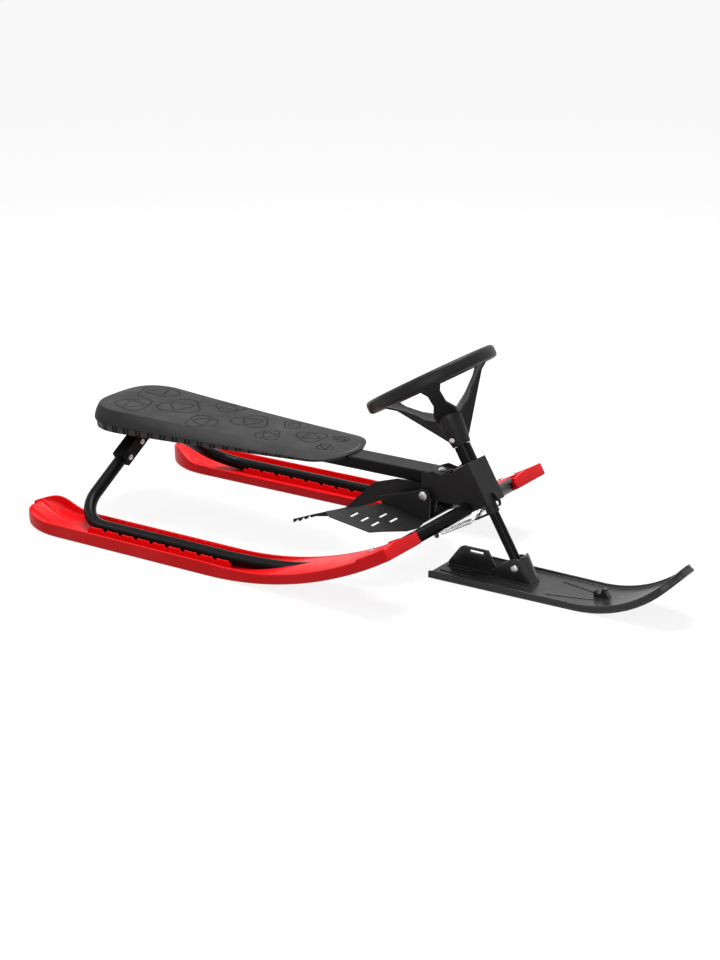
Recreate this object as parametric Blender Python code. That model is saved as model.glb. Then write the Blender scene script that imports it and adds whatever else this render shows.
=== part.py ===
"""Steerable snow sled with two runners, a seat on a centre beam, a front ski and a foot brake.

Units are metres, +X is forward, +Y is left and +Z is up. A station is a distance forward of the
runners' rear end, and a height is measured from the snow. The model is centred on its length.
Pieces that come in pairs are made for a side of -1 (right) and of +1 (left).
"""
import math

import bmesh
import bpy
from mathutils import Matrix, Vector

# Clearances between neighbours
FIT = 0.0003
BOLT_CLEARANCE = 0.0004
TUBE_SEAT = 0.0005

# Runners
RUNNER_START = 0.012
RUNNER_SPREAD = 0.204
RUNNER_WIDTH = 0.097
RUNNER_FLOOR = 0.008
RUNNER_WALL = 0.004
RUNNER_OUTER_RIM = 0.024
RUNNER_INNER_RIM = 0.020
RUNNER_FRONT_RIM = 0.018
RUNNER_LIP_RIM = 0.021
RUNNER_LIP_LENGTH = 0.058
RUNNER_FLAT_END = 0.430
RUNNER_RISE_RADIUS = 0.670
RUNNER_TAIL_LENGTH = 0.107
RUNNER_TAIL_RISE = 0.014
RUNNER_TAIL_RIM = 0.021
RUNNER_SCOOP_RIM = 0.0275
RUNNER_SCOOP_STATION = 0.055
RUNNER_TAIL_ROUNDING = 0.075
RUNNER_EDGE = 0.004
RUNNER_BOLT_LEAD = 0.049
RUNNER_FRONT_LEAD = 0.108

# Toothed ribs beside the frame tube
RIB_THICKNESS = 0.0026
RIB_HEIGHT = 0.0115
RIB_START = 0.146
RIB_END = 0.455
TOOTH_FIRST = 0.184
TOOTH_PITCH = 0.0338
TOOTH_DEPTH = 0.006
TOOTH_WIDTH = 0.012
TOOTH_SMALL_DEPTH = 0.002
RIB_ARCH = 0.0008

# Frame tubes
TUBE_RADIUS = 0.0110
LEG_STATION = 0.1080
LEG_LEAN = 0.0420
LEG_ANGLE = math.radians(33.66)
LEG_TOP_OFFSET = 0.030
LEG_BEND = 0.062
ARM_LEAD = 0.0232
ARM_TANGENT = math.radians(20.0)
ARM_BEND = 0.045
FILLET_MARGIN = 0.0005
ARM_END_STATION = 0.7894
ARM_END_HEIGHT = 0.1197
CLAMP_OFFSET = 0.0385
CLAMP_WIDTH = 0.006
CLAMP_THICKNESS = 0.0012

# Leg sockets
SOCKET_WALL = 0.0017
SOCKET_END_OFFSET = 0.086
SOCKET_GAP = 0.001
SOCKET_BOLT_OFFSETS = {"lower": 0.0775, "upper": 0.046}

# Centre beam
BEAM_START = 0.100
BEAM_END = 0.740
BEAM_TOP = 0.167
BEAM_HEIGHT = 0.0205
BEAM_WIDTH = 0.048
BEAM_WALL = 0.0018
BEAM_CORNER = 0.004
BEAM_BOLT_STATION = 0.7256
PLUG_DEPTH = 0.014
PLUG_FLANGE = 0.002

# Seat
SEAT_START = 0.0320
SEAT_END = 0.5575
SEAT_HALF_WIDTH = 0.1065
SEAT_TAPER_START = 0.116
SEAT_TAPER_EASE = 1.36
SEAT_NOSE_HALF_WIDTH = 0.0740
SEAT_REAR_ROUNDING = 0.105
SEAT_REAR_POWER = 2.8
SEAT_NOSE_ROUNDING = 0.0495
SEAT_NOSE_POWER = 2.05
CREASE_START = 0.0375
CREASE_END = 0.5330
CREASE_HALF_WIDTH = 0.0890
CREASE_NOSE_HALF_WIDTH = 0.0572
CREASE_TAPER_START = 0.101
CREASE_TAPER_EASE = 0.80
CREASE_REAR_ROUNDING = 0.101
CREASE_REAR_POWER = 3.2
CREASE_NOSE_ROUNDING = 0.0320
CREASE_NOSE_POWER = 1.6
PAD_REAR_THICKNESS = 0.0192
PAD_FRONT_THICKNESS = 0.0031
PAD_END_THICKNESS = 0.0023
CREASE_MARGIN = 0.003
CREASE_STEP = 0.001
SEAT_CROWN = 0.0035
SEAT_SHOULDER = 0.012
SEAT_BAND_BULGE = 0.003
SEAT_PAN_COVER = 0.0037
SEAT_SPLIT_REAR_DROP = 0.0025
SEAT_SPLIT_FRONT_RISE = 0.0002
SEAT_PAN_MARGIN = 0.014
SEAT_BASE_REAR_DROP = 0.0170
SEAT_BASE_FRONT_DROP = 0.0030
SEAT_BASE_INSET = 0.0025
SEAT_BOLT_STATIONS = {"rear": 0.190, "front": 0.480}

# Steering housing, sizes along and ahead of the column's axis
COLUMN_STATION = 0.8192
COLUMN_HEIGHT = 0.1214
COLUMN_RAKE = math.atan2(0.5087, 0.861)
HOUSING_SHEET = 0.0025
HOUSING_FACE_AHEAD = 0.0140
HOUSING_FOOT = 0.0051
HOUSING_HEAD = 0.0801
HOUSING_NECK_BEHIND = 0.0300
HOUSING_BELLY_AHEAD = 0.0519
HOUSING_BELLY_DROP = 0.0235
HOUSING_EAR_AHEAD = 0.0105
HOUSING_EAR_DROP = 0.0225
HOUSING_EAR_MARGIN = 0.001
HOUSING_REAR_BEHIND = 0.0101
HOUSING_REAR_DROP = 0.003
HOUSING_PEAK_AHEAD = 0.0091
HOUSING_PEAK_RISE = 0.005
HOUSING_DIP_AHEAD = 0.0149
HOUSING_DIP_RISE = 0.0017
HOUSING_SHOULDER_AHEAD = 0.0277
HOUSING_SHOULDER_RISE = 0.0119
BRIDGE_LENGTH = 0.019
BUSH_THICKNESS = 0.013
BUSH_DEPTH = 0.032
HOOK_THICKNESS = 0.004
HOOK_HEIGHT = 0.016
HOOK_PROFILE = (
    (0.0, 1.0),
    (0.188, 1.0),
    (0.344, 0.625),
    (0.469, 0.0),
    (0.375, -0.406),
    (0.219, -0.562),
    (-0.050, -0.500),
    (-0.094, -0.388),
    (0.031, -0.375),
    (0.156, -0.375),
    (0.250, -0.188),
    (0.188, 0.0),
    (0.0, 0.25),
)

# Steering column, sizes along its axis from the housing's foot
COLUMN_RADIUS = 0.0085
COLUMN_GROOVE = 0.0012
COLUMN_BORE_PLAY = 0.0003
COLUMN_TOP = 0.150
COLUMN_FOOT_OVERHANG = 0.010
SLEEVE_RADIUS = 0.0135
HUB_FOOT = 0.1108
HUB_TOP = 0.165
HUB_FOOT_RADIUS = 0.0155
HUB_TOP_RADIUS = 0.0235
HUB_BOLT_ALONG = 0.124
WHEEL_ALONG = 0.2272
WHEEL_RADIUS = 0.1135
WHEEL_GRIP_WIDTH = 0.021
WHEEL_GRIP_HEIGHT = 0.0220
SPOKE_RIM_WIDTH = 0.044
SPOKE_WAIST_WIDTH = 0.022
SPOKE_HUB_WIDTH = 0.040
SPOKE_THICKNESS = 0.004
SPOKE_WEB_THICKNESS = 0.005
LEVER_THICKNESS = 0.0032
LEVER_COLLAR_HEIGHT = 0.015
COLLAR_WALL = 0.0022
LEVER_REACH = 0.034
LEVER_WIDTH = 0.009

# Steering springs
SPRING_RADIUS = 0.0045
SPRING_WIRE = 0.0016
SPRING_PITCH = 0.0029
SPRING_HOOK = 0.0075
SPRING_POINTS_PER_CURL = 8
LUG_OFFSET = 0.0720
LUG_DROP = 0.0225
LUG_THICKNESS = 0.003
LUG_WIDTH = 0.011

# Front ski
SKI_TAIL_STATION = 0.737
SKI_PIVOT_HEIGHT = 0.030
SKI_TIP_STATION = 1.170
SKI_TAIL_HALF_WIDTH = 0.058
SKI_FRONT_HALF_WIDTH = 0.050
SKI_DECK = 0.0080
SKI_RIM = 0.0110
SKI_RIM_WIDTH = 0.003
SKI_FLAT_END = 1.000
SKI_RISE_RADIUS = 0.2156
SKI_TIP_ROUNDING = 0.055
TOWER_INNER_HALF = 0.0095
TOWER_WALL = 0.0045
TOWER_REAR = 0.046
TOWER_SHOULDER = 0.0113
TOWER_CREST = 0.0165
GUARD_AHEAD = 0.0265
GUARD_TOP = 0.021
FIN_THICKNESS = 0.004
FIN_START = 0.743
FIN_TOP = 0.0450
FIN_CHAMFER = 0.003
SLOT_START = 0.782
SLOT_LENGTH = 0.026
SLOT_TOP = 0.0410
SLOT_HEIGHT = 0.0052
CLEAT_STATION = 1.026
CLEAT_HEIGHT = 0.018
CLEAT_HALF = 0.0045
CLEAT_PROFILE = (
    (0.67, 0.22),
    (0.22, 0.78),
    (0.33, 1.0),
    (-0.06, 1.0),
    (-0.22, 0.50),
    (-0.50, 0.50),
    (-0.72, 0.72),
    (-0.89, 0.56),
)
TIP_SLOT_STATION = 1.132
TIP_SLOT_WIDTH = 0.032
TIP_SLOT_LENGTH = 0.0045

# Foot brake, sizes measured from its axle
AXLE_STATION = 0.7138
AXLE_HEIGHT = 0.1312
AXLE_RADIUS = 0.004
BRAKE_SHEET = 0.0020
EAR_OUTER_OFFSET = 0.0387
EAR_ROUNDING = 0.011
PEDAL_REAR = -0.0791
PEDAL_DROP = 0.0283
PEDAL_TILT = math.atan(0.197)
PEDAL_WIDTH = 0.1509
PEDAL_FRONT = 0.0045
PEDAL_PROFILE = (
    (0.060, 0.408),
    (0.019, 0.585),
    (-0.150, 0.818),
    (-0.229, 0.950),
    (-0.722, 1.0),
    (-0.814, 0.919),
)
EAR_LENGTH = 0.0838
EAR_FRONT_PROFILE = ((0.141, -0.469), (0.167, -0.038))
EAR_REAR_PROFILE = ((-0.346, 0.007), (-1.0, -0.193))
PEDAL_SLOT_LENGTH = 0.024
PEDAL_SLOT_WIDTH = 0.0055
PEDAL_SLOT_PITCH = 0.0205
PEDAL_OUTER_SLOT_REAR = 0.0863
PEDAL_OUTER_SLOT_OFFSET = 0.110
PEDAL_INNER_SLOT_REAR = 0.0540
PEDAL_INNER_SLOT_OFFSET = 0.073
CLAW_THICKNESS = 0.003
CLAW_TOOTH_PITCH = 0.0129
CLAW_TOOTH_DEPTH = 0.004
CLAW_TOOTH_SLOPE = 0.457
CLAW_REACH = 0.2862
CLAW_BACK_PROFILE = (
    (-0.262, 0.017),
    (-0.421, -0.033),
    (-0.618, -0.229),
    (-0.980, -0.371),
    (-0.999, -0.377),
    (-1.0, -0.400),
    (-0.982, -0.391),
)
CLAW_TOOTH_START = (-0.968, -0.370)
CLAW_UNDER_PROFILE = ((-0.832, -0.327), (-0.741, -0.309))

# Fasteners
BOLT_RADIUS = 0.0040
SMALL_BOLT_RADIUS = 0.0025
BOLT_HEAD_RADIUS = 0.0078
SMALL_HEAD_RADIUS = 0.0050
BOLT_HEAD_HEIGHT = 0.0040
SMALL_HEAD_HEIGHT = 0.0028
WASHER_THICKNESS = 0.0012

# Fineness of round shapes
ROUND_SIDES = 12
TUBE_SIDES = 12
WHEEL_STEPS = 42
FLATNESS = math.radians(0.01)

MIDDLE = (RUNNER_START + SKI_TIP_STATION) / 2
TUBE_HEIGHT = RUNNER_FLOOR + TUBE_SEAT + TUBE_RADIUS
ARM_RISE_RADIUS = RUNNER_RISE_RADIUS - TUBE_HEIGHT
ARM_STATION = RUNNER_FLAT_END + ARM_RISE_RADIUS * math.sin(ARM_TANGENT) + ARM_LEAD
RUNNER_BOLT_STATION = ARM_STATION + RUNNER_BOLT_LEAD
RUNNER_FRONT = ARM_STATION + RUNNER_FRONT_LEAD
BEAM_BOTTOM = BEAM_TOP - BEAM_HEIGHT
SEAT_PAN_TOP = BEAM_TOP + SEAT_PAN_COVER
SEAT_SPLIT_REAR = BEAM_TOP - SEAT_SPLIT_REAR_DROP
SEAT_SPLIT_FRONT = BEAM_TOP + SEAT_SPLIT_FRONT_RISE
SEAT_BASE_REAR = BEAM_TOP - SEAT_BASE_REAR_DROP
SEAT_BASE_FRONT = BEAM_TOP - SEAT_BASE_FRONT_DROP
HOUSING_INNER_HALF = BEAM_WIDTH / 2 + FIT
HOUSING_HALF = HOUSING_INNER_HALF + HOUSING_SHEET
SKI_PIVOT_STATION = COLUMN_STATION + (COLUMN_HEIGHT - SKI_PIVOT_HEIGHT) * math.tan(COLUMN_RAKE)
SKI_PIVOT_ALONG = -(COLUMN_HEIGHT - SKI_PIVOT_HEIGHT) / math.cos(COLUMN_RAKE)
BORE_RADIUS = COLUMN_RADIUS + COLUMN_BORE_PLAY


def at(station, side_offset, height):
    """Return the world point at a station, a distance left of the centre plane and a height."""
    return Vector((station - MIDDLE, side_offset, height))


def stepped(value, stops):
    """Return the value of a chain of straight lines through the (position, value) stops."""
    for (left, low), (right, high) in zip(stops, stops[1:]):
        if value <= right:
            share = max(0.0, (value - left) / (right - left))
            return low + (high - low) * share
    return stops[-1][1]


def rounding(distance, length, power=2.3):
    """Return the share of full width at a distance from the tip of a rounded end."""
    if distance >= length:
        return 1.0
    return (1 - (1 - distance / length) ** power) ** (1 / power)


def clear_scene():
    """Remove every object that the scene starts with."""
    for item in list(bpy.data.objects):
        bpy.data.objects.remove(item, do_unlink=True)


def make_material(name, colour, roughness, metallic):
    """Make a Principled material of one colour."""
    material = bpy.data.materials.new(name)
    material.use_nodes = True
    shader = material.node_tree.nodes["Principled BSDF"]
    shader.inputs["Base Color"].default_value = (*colour, 1.0)
    shader.inputs["Roughness"].default_value = roughness
    shader.inputs["Metallic"].default_value = metallic
    return material


def finished(shape):
    """Turn every face of a closed shape outwards and return the shape."""
    bmesh.ops.remove_doubles(shape, verts=shape.verts, dist=1e-7)
    bmesh.ops.recalc_face_normals(shape, faces=shape.faces)
    return shape


def loft(rings, closed=False):
    """Join rings of equally many points into a solid, capped unless the rings close on themselves."""
    shape = bmesh.new()
    rows = [[shape.verts.new(point) for point in ring] for ring in rings]
    pairs = list(zip(rows, rows[1:]))
    if closed:
        pairs.append((rows[-1], rows[0]))
    count = len(rows[0])
    sides = []
    for low, high in pairs:
        for index in range(count):
            following = (index + 1) % count
            sides.append(shape.faces.new((low[index], low[following], high[following], high[index])))
    bmesh.ops.connect_verts_nonplanar(shape, angle_limit=FLATNESS, faces=sides)
    if not closed:
        shape.faces.new(rows[0])
        shape.faces.new(rows[-1])
    return finished(shape)


def prism(outline, low, high, place):
    """Extrude a flat outline of (a, b) pairs; place turns (a, b, depth) into a point."""
    return loft([[place(a, b, depth) for a, b in outline] for depth in (low, high)])


def upright(a, b, depth):
    """Place an outline drawn in world X and Z, with its depth along Y."""
    return Vector((a, depth, b))


def flat(a, b, depth):
    """Place an outline drawn in X and Y, with its depth along Z."""
    return Vector((a, b, depth))


def block(low, high):
    """Make a box between two corners."""
    outline = [(low[0], low[1]), (high[0], low[1]), (high[0], high[1]), (low[0], high[1])]
    return prism(outline, low[2], high[2], flat)


def circle(radius, sides=ROUND_SIDES, centre=(0.0, 0.0)):
    """Return the points of a circle as (a, b) pairs."""
    return [
        (
            centre[0] + radius * math.cos(2 * math.pi * step / sides),
            centre[1] + radius * math.sin(2 * math.pi * step / sides),
        )
        for step in range(sides)
    ]


def arc(centre, radius, start, end, steps):
    """Return points along an arc, its angles in degrees."""
    points = []
    for step in range(steps + 1):
        angle = math.radians(start + (end - start) * step / steps)
        points.append((centre[0] + radius * math.cos(angle), centre[1] + radius * math.sin(angle)))
    return points


def hexagon_radius(across, angle):
    """Return the distance from a hexagon's centre to its edge, for half its width across flats."""
    sector = math.pi / 3
    return across / math.cos((angle + sector / 2) % sector - sector / 2)


def turned(profile, sides=ROUND_SIDES):
    """Make a solid round Z from (radius, height, is_hexagonal) rows, listed from bottom to top."""
    rings = []
    for radius, height, hexagonal in profile:
        ring = []
        for step in range(sides):
            angle = 2 * math.pi * step / sides
            reach = hexagon_radius(radius, angle) if hexagonal else radius
            ring.append(Vector((reach * math.cos(angle), reach * math.sin(angle), height)))
        rings.append(ring)
    return loft(rings)


def rod(radius, start, end, sides=ROUND_SIDES):
    """Make a round bar between two points."""
    way = end - start
    turn = way.to_track_quat("Z", "Y").to_matrix().to_4x4()
    shape = turned([(radius, 0.0, False), (radius, way.length, False)], sides)
    bmesh.ops.transform(shape, matrix=Matrix.Translation(start) @ turn, verts=shape.verts)
    return shape


def moved(shape, matrix):
    """Move a shape by a matrix and return it."""
    bmesh.ops.transform(shape, matrix=matrix, verts=shape.verts)
    return shape


def combine(base, tool, operation):
    """Cut, join or intersect two solids with an exact Boolean and return the result."""
    pair = []
    for label, shape in (("base", base), ("tool", tool)):
        mesh = bpy.data.meshes.new(label)
        shape.to_mesh(mesh)
        shape.free()
        item = bpy.data.objects.new(label, mesh)
        bpy.context.scene.collection.objects.link(item)
        pair.append(item)
    modifier = pair[0].modifiers.new("boolean", "BOOLEAN")
    modifier.object = pair[1]
    modifier.operation = operation
    modifier.solver = "EXACT"
    evaluated = pair[0].evaluated_get(bpy.context.evaluated_depsgraph_get())
    result = bmesh.new()
    result.from_mesh(evaluated.to_mesh())
    evaluated.to_mesh_clear()
    for item in pair:
        bpy.data.objects.remove(item, do_unlink=True)
    bmesh.ops.dissolve_degenerate(result, dist=1e-6, edges=result.edges)
    return finished(result)


def cut(base, tool):
    """Return the base less the tool."""
    return combine(base, tool, "DIFFERENCE")


def join(base, *tools):
    """Return the base joined with each of the tools."""
    for tool in tools:
        base = combine(base, tool, "UNION")
    return base


def overlap(base, tool):
    """Return what the base and the tool share."""
    return combine(base, tool, "INTERSECT")


def add_piece(name, shape, material, parent=None, sharp=35.0):
    """Make a named object from a solid, with its origin at its parent's, and shade it smooth."""
    mesh = bpy.data.meshes.new(name)
    shape.to_mesh(mesh)
    shape.free()
    mesh.materials.append(material)
    mesh.shade_smooth()
    mesh.set_sharp_from_angle(angle=math.radians(sharp))
    piece = bpy.data.objects.new(name, mesh)
    bpy.context.scene.collection.objects.link(piece)
    piece.parent = parent
    return piece


def add_frame(name, location, pitch=0.0, parent=None, parent_matrix=None):
    """Make an empty that carries a joint's pieces, pitched about Y, and return it."""
    empty = bpy.data.objects.new(name, None)
    bpy.context.scene.collection.objects.link(empty)
    empty.empty_display_size = 0.03
    empty.location = location
    empty.rotation_euler = (0.0, pitch, 0.0)
    if parent is not None:
        empty.parent = parent
        empty.matrix_parent_inverse = parent_matrix.inverted()
    return empty


def fillet_path(corners, bends, step=math.radians(9)):
    """Return a path through the corners, each inner one rounded by its (radius, angle step)."""
    path = [corners[0]]
    for before, corner, after, (radius, fine) in zip(corners, corners[1:], corners[2:], bends):
        inward = (before - corner).normalized()
        outward = (after - corner).normalized()
        turn = math.pi - inward.angle(outward)
        room = (path[-1] - corner).length - FILLET_MARGIN
        radius = min(radius, room / math.tan(turn / 2))
        tangent = radius * math.tan(turn / 2)
        centre = corner + (inward + outward).normalized() * (radius / math.cos(turn / 2))
        start = corner + inward * tangent - centre
        end = corner + outward * tangent - centre
        steps = max(2, math.ceil(turn / (fine or step)))
        for index in range(steps + 1):
            share = index / steps
            path.append(centre + start.slerp(end, share) * radius / start.slerp(end, share).length)
    path.append(corners[-1])
    return path


def sweep(path, radius, sides=TUBE_SIDES, end_plane=None):
    """Sweep a circle along a path; the last ring is laid onto end_plane (a point and a normal)."""
    directions = [(after - before).normalized() for before, after in zip(path, path[1:])]
    tangents = [directions[0]]
    tangents += [(left + right).normalized() for left, right in zip(directions, directions[1:])]
    tangents.append(directions[-1])
    across = tangents[0].orthogonal().normalized()
    rings = []
    for index, (point, tangent) in enumerate(zip(path, tangents)):
        across = (across - tangent * across.dot(tangent)).normalized()
        second = tangent.cross(across)
        stretch = 1.0
        if 0 < index < len(path) - 1:
            stretch = 1.0 / math.cos(directions[index - 1].angle(directions[index]) / 2)
        kink = None
        if stretch > 1.0 + 1e-9:
            kink = (directions[index] - directions[index - 1]).normalized()
        ring = []
        for step in range(sides):
            angle = 2 * math.pi * step / sides
            offset = (across * math.cos(angle) + second * math.sin(angle)) * radius
            if kink is not None:
                offset += kink * offset.dot(kink) * (stretch - 1.0)
            ring.append(point + offset)
        rings.append(ring)
    if end_plane is not None:
        origin, normal = end_plane
        way = directions[-1]
        rings[-1] = [p + way * ((origin - p).dot(normal) / way.dot(normal)) for p in rings[-1]]
    return loft(rings)


def bolt(shank, head, head_height, grip, nut=True, washer=0.0):
    """Make a bolt along Z: its head above 0, its grip below, and a hexagonal nut under the grip."""
    across = head * 0.92
    nut_height = shank * 1.5
    tip = grip + (nut_height + shank * 0.6 if nut else 0.0)
    profile = [(shank, -tip, False)]
    if nut:
        profile.append((shank, -grip - nut_height, False))
        profile.append((across, -grip - nut_height, True))
        profile.append((across, -grip, True))
    profile.append((shank, -grip, False))
    profile.append((shank, 0.0, False))
    if washer:
        profile.append((head * 1.25, 0.0, False))
        profile.append((head * 1.25, washer, False))
    profile.append((head, washer, False))
    profile.append((head, washer + head_height * 0.35, False))
    profile.append((head * 0.78, washer + head_height * 0.85, False))
    profile.append((head * 0.42, washer + head_height, False))
    if not nut:
        profile = profile[:1] + profile[2:]
    return turned(profile)


def pointing(shape, location, direction):
    """Turn a shape's Z to a direction and move it to a location."""
    turn = direction.to_track_quat("Z", "Y").to_matrix().to_4x4()
    return moved(shape, Matrix.Translation(location) @ turn)


def runner_line(distance):
    """Return the station, height and slope of the sole at a distance along it."""
    if distance < RUNNER_FLAT_END:
        share = max(0.0, 1 - distance / RUNNER_TAIL_LENGTH)
        return distance, RUNNER_TAIL_RISE * share ** 2, 0.0
    slope = (distance - RUNNER_FLAT_END) / RUNNER_RISE_RADIUS
    station = RUNNER_FLAT_END + RUNNER_RISE_RADIUS * math.sin(slope)
    return station, RUNNER_RISE_RADIUS * (1 - math.cos(slope)), slope


def runner_slope_at(station):
    """Return the slope of the rising sole at a station."""
    return math.asin((station - RUNNER_FLAT_END) / RUNNER_RISE_RADIUS)


def runner_distances():
    """Return the distances along the sole at which a runner's sections stand."""
    steps = 7
    tail = [
        RUNNER_START + RUNNER_TAIL_ROUNDING * (1 - math.cos(math.pi / 2 * step / steps))
        for step in range(steps + 1)
    ]
    rise_end = runner_slope_at(RUNNER_FRONT)
    count = math.ceil(rise_end / math.radians(2.0))
    rise = [RUNNER_FLAT_END + RUNNER_RISE_RADIUS * rise_end * step / count for step in range(count + 1)]
    lip = rise[-1] - RUNNER_LIP_LENGTH
    rise = [spot for spot in rise if abs(spot - lip) > 0.008] + [lip - RUNNER_WALL, lip]
    return sorted(tail + [RUNNER_TAIL_LENGTH] + rise), lip


def runner_section(distance, side, across_and_up):
    """Place a section's (outward offset, height above the sole) pairs at a distance."""
    station, height, slope = runner_line(distance)
    ring = []
    for outward, up in across_and_up:
        place = at(station - up * math.sin(slope), side * (RUNNER_SPREAD + outward), height)
        place.z += up * math.cos(slope)
        ring.append(place)
    return ring


def toothed_outline(start, end):
    """Return the outline of a rib with large notches at the tooth pitch and small ones between."""
    foot = RUNNER_FLOOR - 0.002

    def crest(station, drop=0.0):
        """Return a point of the slightly arched crest, or one below it."""
        share = (station - start) / (end - start) * 2 - 1
        return station, RUNNER_FLOOR + RIB_HEIGHT - RIB_ARCH * share ** 2 - drop

    points = [(start, foot), crest(start, TOOTH_DEPTH), crest(start + TOOTH_DEPTH)]
    for index in range(int((end - TOOTH_FIRST) / TOOTH_PITCH)):
        centre = TOOTH_FIRST + index * TOOTH_PITCH
        if centre - TOOTH_WIDTH / 2 <= start + TOOTH_DEPTH:
            continue
        points += [crest(centre - TOOTH_WIDTH / 2), crest(centre, TOOTH_DEPTH)]
        points.append(crest(centre + TOOTH_WIDTH / 2))
        middle = centre + TOOTH_PITCH / 2
        points += [crest(middle - TOOTH_SMALL_DEPTH), crest(middle, TOOTH_SMALL_DEPTH)]
        points.append(crest(middle + TOOTH_SMALL_DEPTH))
    points += [crest(end - TOOTH_DEPTH), crest(end, TOOTH_DEPTH), (end, foot)]
    return [(station - MIDDLE, height) for station, height in points]


def make_runner(side, tube_path):
    """Make one runner: a trough with a scooped tail, toothed ribs and a gap for the tube."""
    distances, lip = runner_distances()
    half = RUNNER_WIDTH / 2
    outer_stops = [
        (RUNNER_START, RUNNER_TAIL_RIM),
        (RUNNER_TAIL_LENGTH, RUNNER_OUTER_RIM),
        (RUNNER_FLAT_END, RUNNER_OUTER_RIM),
        (RUNNER_FLAT_END + RUNNER_TAIL_LENGTH, RUNNER_FRONT_RIM),
        (lip - RUNNER_WALL, RUNNER_FRONT_RIM),
        (lip, RUNNER_LIP_RIM),
    ]
    inner_stops = [(RUNNER_START, RUNNER_TAIL_RIM), (RUNNER_SCOOP_STATION, RUNNER_SCOOP_RIM)]
    inner_stops += [(RUNNER_TAIL_LENGTH * 1.1, RUNNER_INNER_RIM), (RUNNER_FLAT_END, RUNNER_INNER_RIM)]
    inner_stops += outer_stops[3:]
    outer_rings = []
    cavity_rings = []
    for distance in distances:
        width = half * rounding(max(distance - RUNNER_START, 0.0006), RUNNER_TAIL_ROUNDING, 2.1)
        edge = min(RUNNER_EDGE, width * 0.4)
        section = [
            (-width + edge, 0.0),
            (width - edge, 0.0),
            (width, edge),
            (width, stepped(distance, outer_stops)),
            (-width, stepped(distance, inner_stops)),
            (-width, edge),
        ]
        outer_rings.append(runner_section(distance, side, section))
    inside_start = RUNNER_START + RUNNER_WALL
    inside_rounding = RUNNER_TAIL_ROUNDING - RUNNER_WALL
    top = RUNNER_LIP_RIM * 3
    for distance in distances + [distances[-1] + RUNNER_WALL]:
        if distance <= inside_start:
            continue
        width = (half - RUNNER_WALL) * rounding(distance - inside_start, inside_rounding, 2.1)
        edge = min(RUNNER_WALL, width * 0.4)
        scoop = max(0.0, 1 - (distance - inside_start) / inside_rounding) ** 2
        floor = RUNNER_FLOOR + (RUNNER_TAIL_RIM - RUNNER_WALL - RUNNER_FLOOR) * scoop
        section = [
            (-width + edge, floor),
            (width - edge, floor),
            (width, floor + edge),
            (width, top),
            (-width, top),
            (-width, floor + edge),
        ]
        cavity_rings.append(runner_section(distance, side, section))
    runner = cut(loft(outer_rings), loft(cavity_rings))
    seat = TUBE_RADIUS + TUBE_SEAT
    straight_start = tube_path["leg_bend_end"] + RUNNER_WALL
    for direction, start in ((1, RIB_START), (-1, straight_start)):
        near = side * (RUNNER_SPREAD + direction * seat)
        far = side * (RUNNER_SPREAD + direction * (seat + RIB_THICKNESS))
        runner = join(runner, prism(toothed_outline(start, RIB_END), near, far, upright))
    wall_low = side * (RUNNER_SPREAD - half - RUNNER_WALL)
    wall_high = side * (RUNNER_SPREAD - half + RUNNER_WALL * 2.5)
    runner = cut(runner, prism(wall_gap_outline(*tube_path["wall_gap"]), wall_low, wall_high, upright))
    bolt_place, bolt_up = runner_bolt_place(side)
    hole = rod(BOLT_RADIUS + BOLT_CLEARANCE, bolt_place - bolt_up * 0.03, bolt_place + bolt_up * 0.02)
    return cut(runner, hole)


def wall_gap_outline(start, end):
    """Return the side outline of the gap that the tube needs in the inner wall, down to the floor."""
    steps = 4
    outline = []
    for step in range(steps + 1):
        station, height, slope = runner_line(start + (end - start) * step / steps)
        rise = RUNNER_FLOOR - FIT
        outline.append((station - rise * math.sin(slope) - MIDDLE, height + rise * math.cos(slope)))
    for distance in (end, start):
        station, height, slope = runner_line(distance)
        rise = RUNNER_LIP_RIM * 2
        outline.append((station - rise * math.sin(slope) - MIDDLE, height + rise * math.cos(slope)))
    return outline


def runner_bolt_place(side):
    """Return the point on the trough's floor where the runner bolt sits, and the floor's normal."""
    slope = runner_slope_at(RUNNER_BOLT_STATION)
    distance = RUNNER_FLAT_END + RUNNER_RISE_RADIUS * slope
    up = Vector((-math.sin(slope), 0.0, math.cos(slope)))
    station, height, _ = runner_line(distance)
    return at(station, side * RUNNER_SPREAD, height) + up * (RUNNER_FLOOR + FIT), up


def leg_direction(side):
    """Return the direction of a leg from its foot up to the beam."""
    way = Vector((LEG_LEAN, -side * math.cos(LEG_ANGLE), math.sin(LEG_ANGLE)))
    return way.normalized()


def leg_point(side, offset):
    """Return the point of a leg's axis at a distance from the centre plane."""
    way = leg_direction(side)
    foot = at(LEG_STATION, side * RUNNER_SPREAD, TUBE_HEIGHT)
    return foot + way * ((RUNNER_SPREAD - offset) / abs(way.y))


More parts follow.
